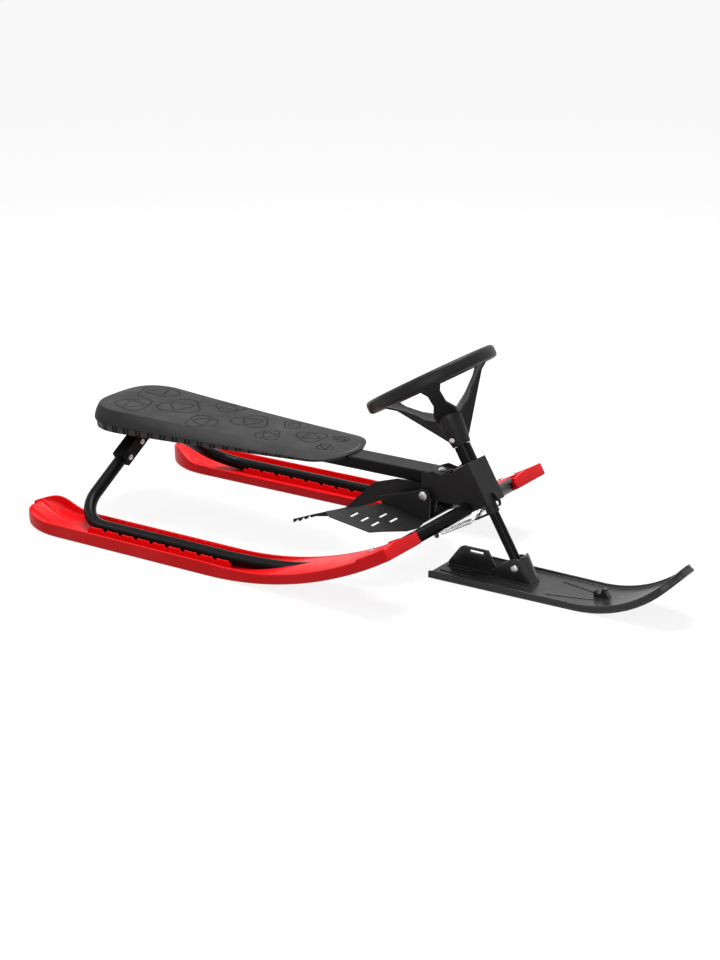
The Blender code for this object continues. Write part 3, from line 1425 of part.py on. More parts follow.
def make_fin():
    """Make the upright carrying fin on the ski's tail, with its finger slot."""
    low = SKI_DECK / 2
    rear = FIN_START - MIDDLE
    front = SKI_PIVOT_STATION - TOWER_REAR + TOWER_WALL - MIDDLE
    start = SLOT_START - MIDDLE
    outline = [(rear, low), (front, low), (front, SKI_DECK * 2.5)]
    outline += [(start + SLOT_LENGTH * 1.31, FIN_TOP), (start - SLOT_LENGTH * 0.46, FIN_TOP)]
    outline += [(start - SLOT_LENGTH * 0.69, FIN_TOP - FIN_CHAMFER), (rear, SKI_DECK * 1.75)]
    fin = prism(outline, -FIN_THICKNESS / 2, FIN_THICKNESS / 2, upright)
    low_corner = Vector((start, -FIN_THICKNESS, SLOT_TOP - SLOT_HEIGHT))
    high_corner = Vector((start + SLOT_LENGTH, FIN_THICKNESS, SLOT_TOP))
    return cut(fin, block(low_corner, high_corner))


def make_cleat():
    """Make the small two-horned cleat ahead of the tower."""
    foot = at(CLEAT_STATION, 0.0, SKI_DECK / 2)
    outline = [(foot.x - CLEAT_HEIGHT * 0.83, foot.z), (foot.x + CLEAT_HEIGHT * 0.78, foot.z)]
    for ahead, up in CLEAT_PROFILE:
        outline.append((foot.x + ahead * CLEAT_HEIGHT, SKI_DECK + up * CLEAT_HEIGHT))
    return prism(outline, -CLEAT_HALF, CLEAT_HALF, upright)


def make_ski_bolt():
    """Make the bolt through the tower and the column's eye, about the pivot."""
    half = TOWER_INNER_HALF + TOWER_WALL + FIT
    shape = bolt(BOLT_RADIUS, BOLT_HEAD_RADIUS * 0.9, BOLT_HEAD_HEIGHT, 2 * half)
    return pointing(shape, Vector((0, -half, 0)), Vector((0, -1, 0)))


def pedal_point(forward, side_offset, depth):
    """Place a point of the pedals' tilted sheet in the brake's frame."""
    run = forward - PEDAL_REAR
    x = PEDAL_REAR + run * math.cos(PEDAL_TILT) + depth * math.sin(PEDAL_TILT)
    z = -PEDAL_DROP - run * math.sin(PEDAL_TILT) + depth * math.cos(PEDAL_TILT)
    return Vector((x, side_offset, z))


def make_foot_plate():
    """Make the brake's folded sheet about its axle: two ears and two slotted pedals."""
    inner = EAR_OUTER_OFFSET - BRAKE_SHEET
    right = [(PEDAL_FRONT, EAR_OUTER_OFFSET)]
    right += [(ahead * PEDAL_WIDTH, out * PEDAL_WIDTH) for ahead, out in PEDAL_PROFILE]
    right.append((PEDAL_REAR, EAR_OUTER_OFFSET))
    outline = right + [(x, -y) for x, y in reversed(right)]
    plate = prism(outline, -BRAKE_SHEET, 0.0, pedal_point)
    round_top = arc((0.0, 0.0), EAR_ROUNDING, 20, 120, 5)
    sheet_front = pedal_point(PEDAL_FRONT, 0.0, -BRAKE_SHEET / 2)
    sheet_rear = pedal_point(PEDAL_REAR, 0.0, -BRAKE_SHEET / 2)
    ear = [(sheet_rear.x, sheet_rear.z), (sheet_front.x, sheet_front.z)]
    ear += [(ahead * EAR_LENGTH, up * EAR_LENGTH) for ahead, up in EAR_FRONT_PROFILE] + round_top
    ear += [(ahead * EAR_LENGTH, up * EAR_LENGTH) for ahead, up in EAR_REAR_PROFILE]
    for side in (-1, 1):
        plate = join(plate, prism(ear, side * inner, side * EAR_OUTER_OFFSET, upright))
    for side in (-1, 1):
        for forward, middle in pedal_slots():
            low = side * (middle - PEDAL_SLOT_LENGTH / 2)
            high = side * (middle + PEDAL_SLOT_LENGTH / 2)
            rear = forward - PEDAL_SLOT_WIDTH / 2
            front = forward + PEDAL_SLOT_WIDTH / 2
            slot = [(rear, low), (front, low), (front, high), (rear, high)]
            plate = cut(plate, prism(slot, -BRAKE_SHEET * 3, BRAKE_SHEET * 3, pedal_point))
    reach = Vector((0, EAR_OUTER_OFFSET * 1.5, 0))
    return cut(plate, rod(AXLE_RADIUS + BOLT_CLEARANCE, -reach, reach))


def pedal_slots():
    """Return the forward place and middle offset of each slot in a pedal."""
    slots = []
    for step in range(3):
        slots.append((step * PEDAL_SLOT_PITCH - PEDAL_OUTER_SLOT_REAR, PEDAL_OUTER_SLOT_OFFSET))
    for step in range(2):
        slots.append((step * PEDAL_SLOT_PITCH - PEDAL_INNER_SLOT_REAR, PEDAL_INNER_SLOT_OFFSET))
    return slots


def make_claw():
    """Make the claw about the axle: an upright web on the sheet with a toothed arm behind."""
    rest = FIT
    front = pedal_point(0.0, 0.0, rest)
    rear = pedal_point(PEDAL_REAR, 0.0, rest)
    outline = arc((0.0, 0.0), EAR_ROUNDING, -60, 105, 8)
    outline += [(ahead * CLAW_REACH, up * CLAW_REACH) for ahead, up in CLAW_BACK_PROFILE]
    for step in range(3):
        x = CLAW_TOOTH_START[0] * CLAW_REACH + step * CLAW_TOOTH_PITCH
        z = CLAW_TOOTH_START[1] * CLAW_REACH + step * CLAW_TOOTH_PITCH * CLAW_TOOTH_SLOPE
        outline.append((x, z))
        outline.append((x + CLAW_TOOTH_PITCH * 0.23, z - CLAW_TOOTH_DEPTH))
        outline.append((x + CLAW_TOOTH_PITCH * 0.58, z - CLAW_TOOTH_DEPTH * 0.5))
    outline += [(ahead * CLAW_REACH, up * CLAW_REACH) for ahead, up in CLAW_UNDER_PROFILE]
    outline += [(rear.x - CLAW_THICKNESS, rear.z), (rear.x, rear.z), (front.x, front.z)]
    web = prism(outline, -CLAW_THICKNESS / 2, CLAW_THICKNESS / 2, upright)
    reach = Vector((0, CLAW_THICKNESS * 2, 0))
    return cut(web, rod(AXLE_RADIUS + BOLT_CLEARANCE, -reach, reach))


def make_brake_axle():
    """Make the axle bolt through the ears and the housing, about the axle."""
    half = EAR_OUTER_OFFSET + FIT
    shape = bolt(AXLE_RADIUS, BOLT_HEAD_RADIUS, BOLT_HEAD_HEIGHT, 2 * half)
    return pointing(shape, Vector((0, -half, 0)), Vector((0, -1, 0)))


def make_brake_spacer(side):
    """Make the spacer between an ear and the housing, about the axle."""
    low = HOUSING_HALF + FIT
    high = EAR_OUTER_OFFSET - BRAKE_SHEET - FIT
    shape = ring_tube(AXLE_RADIUS + FIT, AXLE_RADIUS + 0.0035, low, high, 16)
    return pointing(shape, Vector((0, 0, 0)), Vector((0, side, 0)))


def build():
    """Build the whole sled."""
    clear_scene()
    red = make_material("runner_red", (0.62, 0.008, 0.015), 0.38, 0.0)
    tube_black = make_material("tube_black", (0.012, 0.012, 0.012), 0.30, 0.0)
    sheet_black = make_material("sheet_black", (0.030, 0.030, 0.031), 0.55, 0.0)
    brake_black = make_material("brake_black", (0.035, 0.035, 0.036), 0.55, 0.0)
    plastic = make_material("black_plastic", (0.014, 0.014, 0.014), 0.45, 0.0)
    pad_grey = make_material("pad_grey", (0.045, 0.045, 0.045), 0.60, 0.0)
    base_grey = make_material("base_grey", (0.022, 0.022, 0.022), 0.55, 0.0)
    bush_grey = make_material("bush_grey", (0.10, 0.10, 0.10), 0.60, 0.0)
    steel = make_material("zinc_steel", (0.62, 0.63, 0.65), 0.28, 1.0)

    for side, name in ((-1, "right"), (1, "left")):
        route = tube_route(side)
        add_piece(f"runner_{name}", make_runner(side, route), red)
        add_piece(f"frame_tube_{name}", make_frame_tube(side, route), tube_black)
        add_piece(f"leg_socket_{name}", make_leg_socket(side), tube_black)
        for level, offset in SOCKET_BOLT_OFFSETS.items():
            add_piece(f"socket_bolt_{name}_{level}", make_socket_bolt(side, offset), steel)
        add_piece(f"tube_clamp_{name}", make_tube_clamp(route), steel)
        place, up = runner_bolt_place(side)
        head = BOLT_HEAD_RADIUS * 0.75
        shape = bolt(BOLT_RADIUS, head, BOLT_HEAD_HEIGHT, RUNNER_FLOOR - WASHER_THICKNESS, nut=False)
        add_piece(f"runner_bolt_{name}", pointing(shape, place, up), steel)

    add_piece("seat_beam", make_beam(), tube_black)
    add_piece("beam_rear_plug", make_beam_plug(), plastic)
    add_piece("seat_pad", make_seat_pad(), pad_grey, sharp=50.0)
    add_piece("seat_base", make_seat_base(), base_grey)
    for end, station in SEAT_BOLT_STATIONS.items():
        add_piece(f"seat_bolt_{end}", make_seat_bolt(station), steel)
    add_piece("steering_housing", make_housing(), sheet_black)
    add_piece("tow_hook", make_tow_hook(), plastic)
    grip = BEAM_HEIGHT + HOUSING_SHEET + 3 * FIT
    shape = bolt(SMALL_BOLT_RADIUS, SMALL_HEAD_RADIUS, SMALL_HEAD_HEIGHT, grip, washer=WASHER_THICKNESS)
    bolt_seat = Matrix.Translation(at(BEAM_BOLT_STATION, 0, BEAM_TOP + FIT))
    add_piece("beam_bolt", moved(shape, bolt_seat), steel)
    add_piece("column_bush_lower", make_bush(HOUSING_FOOT), bush_grey)
    add_piece("column_bush_upper", make_bush(HOUSING_HEAD - BUSH_THICKNESS), bush_grey)

    column_matrix = Matrix.Translation(at(COLUMN_STATION, 0, COLUMN_HEIGHT))
    column_matrix = column_matrix @ Matrix.Rotation(-COLUMN_RAKE, 4, "Y")
    steering = add_frame("steering_axis", column_matrix.translation, -COLUMN_RAKE)
    add_piece("steering_column", make_column(), tube_black, steering)
    sleeve = ring_tube(BORE_RADIUS, SLEEVE_RADIUS, HOUSING_HEAD + FIT, HUB_FOOT - FIT, 24)
    add_piece("column_sleeve", sleeve, tube_black, steering)
    add_piece("spring_lever", make_spring_lever(), steel, steering)
    add_piece("steering_wheel", make_wheel(), plastic, steering)
    add_piece("hub_bolt", make_hub_bolt(), steel, steering)

    pivot = at(SKI_PIVOT_STATION, 0.0, SKI_PIVOT_HEIGHT)
    ski_frame = add_frame("ski_axis", pivot, 0.0, steering, column_matrix)
    add_piece("ski", make_ski(pivot), plastic, ski_frame)
    add_piece("ski_pivot_bolt", make_ski_bolt(), steel, ski_frame)

    axle = at(AXLE_STATION, 0.0, AXLE_HEIGHT)
    brake = add_frame("brake_axis", axle)
    add_piece("brake_foot_plate", make_foot_plate(), brake_black, brake)
    add_piece("brake_claw", make_claw(), brake_black, brake)
    add_piece("brake_axle", make_brake_axle(), steel, brake)
    for side, name in ((-1, "right"), (1, "left")):
        add_piece(f"brake_spacer_{name}", make_brake_spacer(side), plastic, brake)
        add_piece(f"spring_lug_{name}", make_spring_lug(side, column_matrix), tube_black)
        start, end = spring_ends(side, column_matrix)
        points = coil_points((end - start).length)
        wire = sweep(points, SPRING_WIRE / 2, sides=6)
        add_piece(f"spring_{name}", pointing(wire, start, end - start), steel)


build()
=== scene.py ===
"""Steerable snow sled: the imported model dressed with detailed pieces, finishes, light and camera."""
import logging
import math
from collections.abc import Callable, Iterator, Sequence
from contextlib import contextmanager
from dataclasses import dataclass, field
from enum import Enum
from functools import cache

import bpy
from mathutils import Matrix, Vector


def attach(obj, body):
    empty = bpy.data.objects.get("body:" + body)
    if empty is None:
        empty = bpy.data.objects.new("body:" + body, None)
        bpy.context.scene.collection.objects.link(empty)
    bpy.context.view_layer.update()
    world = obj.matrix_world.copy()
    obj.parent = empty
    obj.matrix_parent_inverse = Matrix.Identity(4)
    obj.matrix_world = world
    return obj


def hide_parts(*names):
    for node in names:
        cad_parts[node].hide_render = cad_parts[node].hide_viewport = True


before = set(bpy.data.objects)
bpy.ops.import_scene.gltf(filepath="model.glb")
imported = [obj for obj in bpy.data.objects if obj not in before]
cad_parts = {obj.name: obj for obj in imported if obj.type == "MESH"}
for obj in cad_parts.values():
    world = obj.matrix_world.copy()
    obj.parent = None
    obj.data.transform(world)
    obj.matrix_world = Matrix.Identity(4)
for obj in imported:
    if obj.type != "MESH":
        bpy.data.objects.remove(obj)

log = logging.getLogger("sled")

# A station is a distance forwards from the sled's tail, and MIDDLE is the world origin's station.
MIDDLE = 0.591
RIGHT = -1
LEFT = 1
OUTWARDS = 1
INWARDS = -1
MERGE = 0.00001

# The seat's figures are rounded triangles, each with a smaller one in it.
LOBES = 3
LOBE_DEPTH = 0.15
LOBE_REACH = 1.3
INNER_SHARE = 0.5
INNER_LOBE_DEPTH = 0.22


class Grain(Enum):
    """The fine relief that a finish shows from near."""

    MOULDED = "moulded"
    POWDER = "powder"
    LEATHER = "leather"
    BRUSHED = "brushed"


@dataclass(frozen=True)
class GrainSizes:
    """Scale of the relief's noise and cells, and its height in metres."""

    noise_scale: float
    cell_scale: float
    cell_share: float
    height: float


GRAINS = {
    Grain.MOULDED: GrainSizes(900.0, 1400.0, 0.5, 0.00008),
    Grain.POWDER: GrainSizes(700.0, 1100.0, 0.2, 0.00005),
    Grain.LEATHER: GrainSizes(500.0, 650.0, 0.8, 0.00022),
    Grain.BRUSHED: GrainSizes(1800.0, 900.0, 0.1, 0.00003),
}


@dataclass(frozen=True)
class Finish:
    """One finish of the sled: its colours as screen values from 0 to 255, its edge colour being a painted
    highlight, gloss and relief.
    """

    name: str
    slot: str
    colour: tuple[int, int, int]
    deep: tuple[int, int, int]
    edge: tuple[int, int, int]
    roughness: float
    roughness_spread: float
    grain: Grain
    metallic: float = 0.0
    edge_radius: float = 0.0007
    edge_highlight_share: float = 0.5
    dust: float = 0.04
    specular: float = 0.5


# The third colour of each finish is the painted highlight that lightens its hard edges.
RUNNER_RED = Finish(
    "runner_red", "runner_red", (226, 14, 24), (214, 9, 14), (236, 60, 66), 0.36, 0.08, Grain.MOULDED,
    edge_radius=0.0009, edge_highlight_share=0.25, dust=0.0, specular=0.16,
)
TUBE_BLACK = Finish(
    "tube_black", "tube_black", (13, 13, 14), (9, 9, 10), (34, 34, 36), 0.30, 0.05, Grain.POWDER,
    edge_highlight_share=0.3, dust=0.006, specular=0.08,
)
SHEET_BLACK = Finish(
    "sheet_black", "sheet_black", (33, 33, 34), (26, 26, 27), (96, 96, 98), 0.40, 0.08, Grain.POWDER,
    edge_radius=0.0009, dust=0.01, specular=0.16,
)
BRAKE_BLACK = Finish(
    "brake_black", "brake_black", (36, 36, 37), (29, 29, 30), (96, 96, 98), 0.42, 0.08, Grain.POWDER,
    edge_radius=0.0009, dust=0.01, specular=0.16,
)
MOULDED_BLACK = Finish(
    "moulded_black", "black_plastic", (30, 30, 31), (23, 23, 24), (84, 84, 86), 0.38, 0.10, Grain.MOULDED,
    edge_radius=0.0010, edge_highlight_share=0.4, dust=0.01, specular=0.18,
)
SKI_BLACK = Finish(
    "ski_black", "black_plastic", (36, 36, 37), (30, 30, 31), (112, 112, 114), 0.28, 0.08, Grain.MOULDED,
    edge_radius=0.0010, edge_highlight_share=0.5, dust=0.01, specular=0.30,
)
SEAT_SKIN = Finish(
    "seat_skin", "pad_grey", (49, 49, 50), (41, 41, 42), (70, 70, 71), 0.56, 0.08, Grain.LEATHER,
    edge_radius=0.0006, edge_highlight_share=0.2, dust=0.02, specular=0.10,
)
BASE_GREY = Finish(
    "base_grey", "base_grey", (66, 66, 67), (58, 58, 59), (96, 96, 98), 0.48, 0.08, Grain.MOULDED,
    dust=0.01, specular=0.2,
)
# Painted shade inside the skirt's notches.
NOTCH_SHADE_BLACK = Finish(
    "notch_shade_black", "base_grey", (10, 10, 11), (8, 8, 9), (20, 20, 21), 0.60, 0.05, Grain.MOULDED,
    dust=0.0, specular=0.1,
)
BUSH_GREY = Finish(
    "bush_grey", "bush_grey", (120, 120, 122), (104, 104, 106), (160, 160, 162), 0.45, 0.06, Grain.MOULDED,
)
ZINC = Finish(
    "zinc_steel", "zinc_steel", (205, 207, 210), (168, 171, 176), (235, 236, 238), 0.26, 0.12, Grain.BRUSHED,
    metallic=1.0, edge_radius=0.0005, dust=0.0,
)

# A node takes the first finish that lists a part of its name, and otherwise the tubes' black.
NODE_FINISHES: dict[Finish, tuple[str, ...]] = {
    ZINC: ("bolt", "spring_right", "spring_left", "tube_clamp", "brake_axle"),
    TUBE_BLACK: ("leg_socket", "seat_beam", "steering_column", "column_sleeve"),
    SHEET_BLACK: ("steering_housing", "tow_hook", "spring_lever", "spring_lug"),
    BRAKE_BLACK: ("brake_foot_plate", "brake_claw"),
    MOULDED_BLACK: ("beam_rear_plug", "brake_spacer"),
    SKI_BLACK: ("ski",),
    BASE_GREY: ("seat_base",),
    BUSH_GREY: ("column_bush",),
}


def at(station: float, across: float, height: float) -> Vector:
    """Return the world point at a station, a distance left of the sled's middle and a height."""
    return Vector((station - MIDDLE, across, height))


def linear(tone: Sequence[float]) -> tuple[float, float, float, float]:
    """Turn a screen colour into the renderer's linear colour.

    Args:
        tone: Red, green and blue from 0 to 255.

    Returns:
        Linear red, green and blue from 0 to 1, and full alpha.
    """
    shares = [value / 255 for value in tone]
    parts = [share / 12.92 if share <= 0.04045 else ((share + 0.055) / 1.055) ** 2.4 for share in shares]
    return (parts[0], parts[1], parts[2], 1.0)


def share_between(value: float, start: float, end: float) -> float:
    """Return how far a value has come from a start to an end, from 0 to 1."""
    return min(max((value - start) / (end - start), 0.0), 1.0)


def eased(share: float) -> float:
    """Return a share that sets off and arrives gently."""
    return share * share * (3 - 2 * share)


def stepped(value: float, stops: Sequence[tuple[float, float]]) -> float:
    """Read a chain of straight lines at a position.

    Args:
        value: The position.
        stops: Positions in rising order, each with the chain's height there.

    Returns:
        The chain's height, which stays level beyond its ends.
    """
    for (left, low), (right, high) in zip(stops, stops[1:]):
        if value <= right:
            share = max(0.0, (value - left) / (right - left))
            return low + (high - low) * share
    return stops[-1][1]


def rounding(distance: float, length: float, power: float) -> float:
    """Follow the outline of a rounded end.

    Args:
        distance: Distance from the end's tip.
        length: Length of the rounded stretch.
        power: Squareness of the curve, where 2 is an ellipse.

    Returns:
        The share of full width at that distance.
    """
    if distance >= length:
        return 1.0
    return (1 - (1 - max(distance, 0.0) / length) ** power) ** (1 / power)


def deselect() -> None:
    """Leave edit mode and select nothing."""
    if bpy.context.object is not None and bpy.context.object.mode != "OBJECT":
        bpy.ops.object.mode_set(mode="OBJECT")
    bpy.ops.object.select_all(action="DESELECT")


def select_only(*pieces: bpy.types.Object) -> None:
    """Select some pieces alone.

    Args:
        pieces: The pieces, of which the first becomes the active one.
    """
    deselect()
    for piece in pieces:
        piece.select_set(True)
    bpy.context.view_layer.objects.active = pieces[0]


@contextmanager
def editing(piece: bpy.types.Object) -> Iterator[None]:
    """Edit one piece alone, with its whole mesh selected at first.

    Args:
        piece: The piece to edit.

    Yields:
        Nothing, while the piece is in edit mode.
    """
    select_only(piece)
    bpy.ops.object.mode_set(mode="EDIT")
    bpy.ops.mesh.select_all(action="SELECT")
    yield
    bpy.ops.object.mode_set(mode="OBJECT")


def named(name: str) -> bpy.types.Object:
    """Name the piece that an operator has just made.

    Args:
        name: The name of the piece and of its data.

    Returns:
        The piece.
    """
    piece = bpy.context.active_object
    piece.name = name
    piece.data.name = name
    return piece


def closed_up(piece: bpy.types.Object) -> bpy.types.Object:
    """Merge the doubles of a piece and turn its faces outwards.

    Args:
        piece: A piece whose edges meet but aren't joined yet.

    Returns:
        The same piece.
    """
    with editing(piece):
        bpy.ops.mesh.remove_doubles(threshold=MERGE)
        bpy.ops.mesh.dissolve_degenerate(threshold=MERGE)
        bpy.ops.mesh.normals_make_consistent(inside=False)
    return piece


def shaped_grid(name: str, rows: int, columns: int, place: Callable[[int, int], Vector]) -> bpy.types.Object:
    """Add a grid and move each of its crossings to its place on the piece.

    Args:
        name: Name of the new piece.
        rows: Number of steps along the piece.
        columns: Number of steps across it.
        place: Gives the world point of a row and a column.

    Returns:
        The new piece, not yet merged.
    """
    deselect()
    bpy.ops.mesh.primitive_grid_add(x_subdivisions=rows, y_subdivisions=columns, size=2, location=(0, 0, 0))
    piece = named(name)
    for vertex in piece.data.vertices:
        row = round((vertex.co.x + 1) / 2 * rows)
        column = round((vertex.co.y + 1) / 2 * columns)
        vertex.co = place(row, column)
    return piece


def shaped_rows(name: str, rows: Sequence[Sequence[Vector]]) -> bpy.types.Object:
    """Lay a skin over rows of world points.

    Args:
        name: Name of the new piece.
        rows: The rows, each with as many points.

    Returns:
        The new piece, merged where its points meet.
    """
    skin = shaped_grid(name, len(rows) - 1, len(rows[0]) - 1, lambda row, column: rows[row][column])
    return closed_up(skin)


def bar(name: str, points: Sequence[Vector], radius: float, rounds: int = 3) -> bpy.types.Object:
    """Lay a round bar along a line of world points.

    Args:
        name: Name of the new piece.
        points: The bar's axis.
        radius: The bar's radius in metres.
        rounds: Fineness of its round section.

    Returns:
        The new piece, closed at both ends.
    """
    deselect()
    bpy.ops.curve.primitive_nurbs_path_add(location=(0, 0, 0))
    piece = named(name)
    piece.data.splines.clear()
    spline = piece.data.splines.new("POLY")
    spline.points.add(len(points) - 1)
    for index, point in enumerate(points):
        spline.points[index].co = (*point, 1.0)
    piece.data.dimensions = "3D"
    piece.data.bevel_depth = radius
    piece.data.bevel_resolution = rounds
    piece.data.use_fill_caps = True
    bpy.ops.object.convert(target="MESH")
    return closed_up(bpy.context.active_object)


def fill_openings(piece: bpy.types.Object) -> None:
    """Close each open rim of a piece with faces.

    Args:
        piece: The piece to close.
    """
    with editing(piece):
        bpy.ops.mesh.select_mode(type="EDGE")
        bpy.ops.mesh.select_all(action="DESELECT")
        bpy.ops.mesh.select_non_manifold(
            extend=False, use_wire=False, use_multi_face=False, use_non_contiguous=False, use_verts=False
        )
        bpy.ops.mesh.fill()
        bpy.ops.mesh.select_all(action="SELECT")
        bpy.ops.mesh.normals_make_consistent(inside=False)


def thicken(piece: bpy.types.Object, thickness: float) -> None:
    """Give a middle sheet its wall, half to each side.

    Args:
        piece: The sheet.
        thickness: The wall's thickness in metres.
    """
    select_only(piece)
    wall = piece.modifiers.new("wall", "SOLIDIFY")
    wall.thickness = thickness
    wall.offset = 0.0
    wall.use_even_offset = True
    bpy.ops.object.modifier_apply(modifier=wall.name)


def soften(piece: bpy.types.Object, width: float, segments: int = 2, angle: float = 35.0) -> None:
    """Round the sharp edges of a piece.

    Args:
        piece: The piece.
        width: Width of the rounding in metres.
        segments: Number of faces across the rounding.
        angle: Angle in degrees past which an edge counts as sharp.
    """
    select_only(piece)
    edge = piece.modifiers.new("edge", "BEVEL")
    edge.width = width
    edge.segments = segments
    edge.limit_method = "ANGLE"
    edge.angle_limit = math.radians(angle)
    edge.use_clamp_overlap = True
    bpy.ops.object.modifier_apply(modifier=edge.name)


def joined(piece: bpy.types.Object, *others: bpy.types.Object) -> bpy.types.Object:
    """Join other pieces into a first one.

    Args:
        piece: The piece that stays.
        others: The pieces that become part of it.

    Returns:
        The first piece.
    """
    select_only(piece, *others)
    bpy.ops.object.join()
    return piece


def put(piece: bpy.types.Object, body: str, finish: Finish, smooth: float = 35.0) -> bpy.types.Object:
    """Shade a piece, give it its finish and let it ride on its body.

    Args:
        piece: The finished piece.
        body: Name of the body that it moves with.
        finish: The finish that covers it.
        smooth: Angle in degrees up to which neighbouring faces shade as one.

    Returns:
        The same piece.
    """
    select_only(piece)
    bpy.ops.object.shade_smooth_by_angle(angle=math.radians(smooth))
    piece.data.materials.clear()
    piece.data.materials.append(Paint.of(finish))
    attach(piece, body)
    log.info("%s rides on %s in %s", piece.name, body, finish.name)
    return piece


class Wiring:
    """Adds nodes to one node tree and links them."""

    spacing: int = 180

    def __init__(self, tree: bpy.types.NodeTree) -> None:
        """Start from a tree."""
        self.tree = tree
        self.column = 0

    def node(self, kind: str, **settings: object) -> bpy.types.Node:
        """Add a node to the right of the last one.

        Args:
            kind: The node's type.
            settings: Its properties by name, and as inputs a table of sockets with what feeds them.

        Returns:
            The new node.
        """
        made = self.tree.nodes.new(kind)
        made.location = (self.column * self.spacing, 0)
        self.column += 1
        inputs = settings.pop("inputs", {})
        for key, value in settings.items():
            setattr(made, key, value)
        for key, value in inputs.items():
            self.feed(made.inputs[key], value)
        return made

    def feed(self, socket: bpy.types.NodeSocket, value: object) -> None:
        """Link a socket to an output, or set its own value.

        Args:
            socket: The input to feed.
            value: An output of another node, or a plain value.
        """
        if isinstance(value, bpy.types.NodeSocket):
            self.tree.links.new(value, socket)
        else:
            socket.default_value = value

    def maths(
        self, operation: str, first: object, second: object = 0.0, clamp: bool = False
    ) -> bpy.types.NodeSocket:
        """Return the output of a math node."""
        made = self.node("ShaderNodeMath", operation=operation, use_clamp=clamp, inputs={0: first, 1: second})
        return made.outputs[0]

    def blend(self, share: object, first: object, second: object) -> bpy.types.NodeSocket:
        """Return the output of a colour mix."""
        made = self.node("ShaderNodeMix", data_type="RGBA", inputs={0: share, 6: first, 7: second})
        return made.outputs[2]

    def ramp(
        self, value: object, low: float, high: float, start: float = 0.0, end: float = 1.0
    ) -> bpy.types.NodeSocket:
        """Carry a value from one range to another.

        Args:
            value: What feeds the node.
            low: Value that becomes the start.
            high: Value that becomes the end.
            start: First end of the new range.
            end: Other end of it.

        Returns:
            The carried value, clamped to the new range.
        """
        ends = {"From Min": low, "From Max": high, "To Min": start, "To Max": end}
        return self.node("ShaderNodeMapRange", inputs={"Value": value, **ends}).outputs[0]


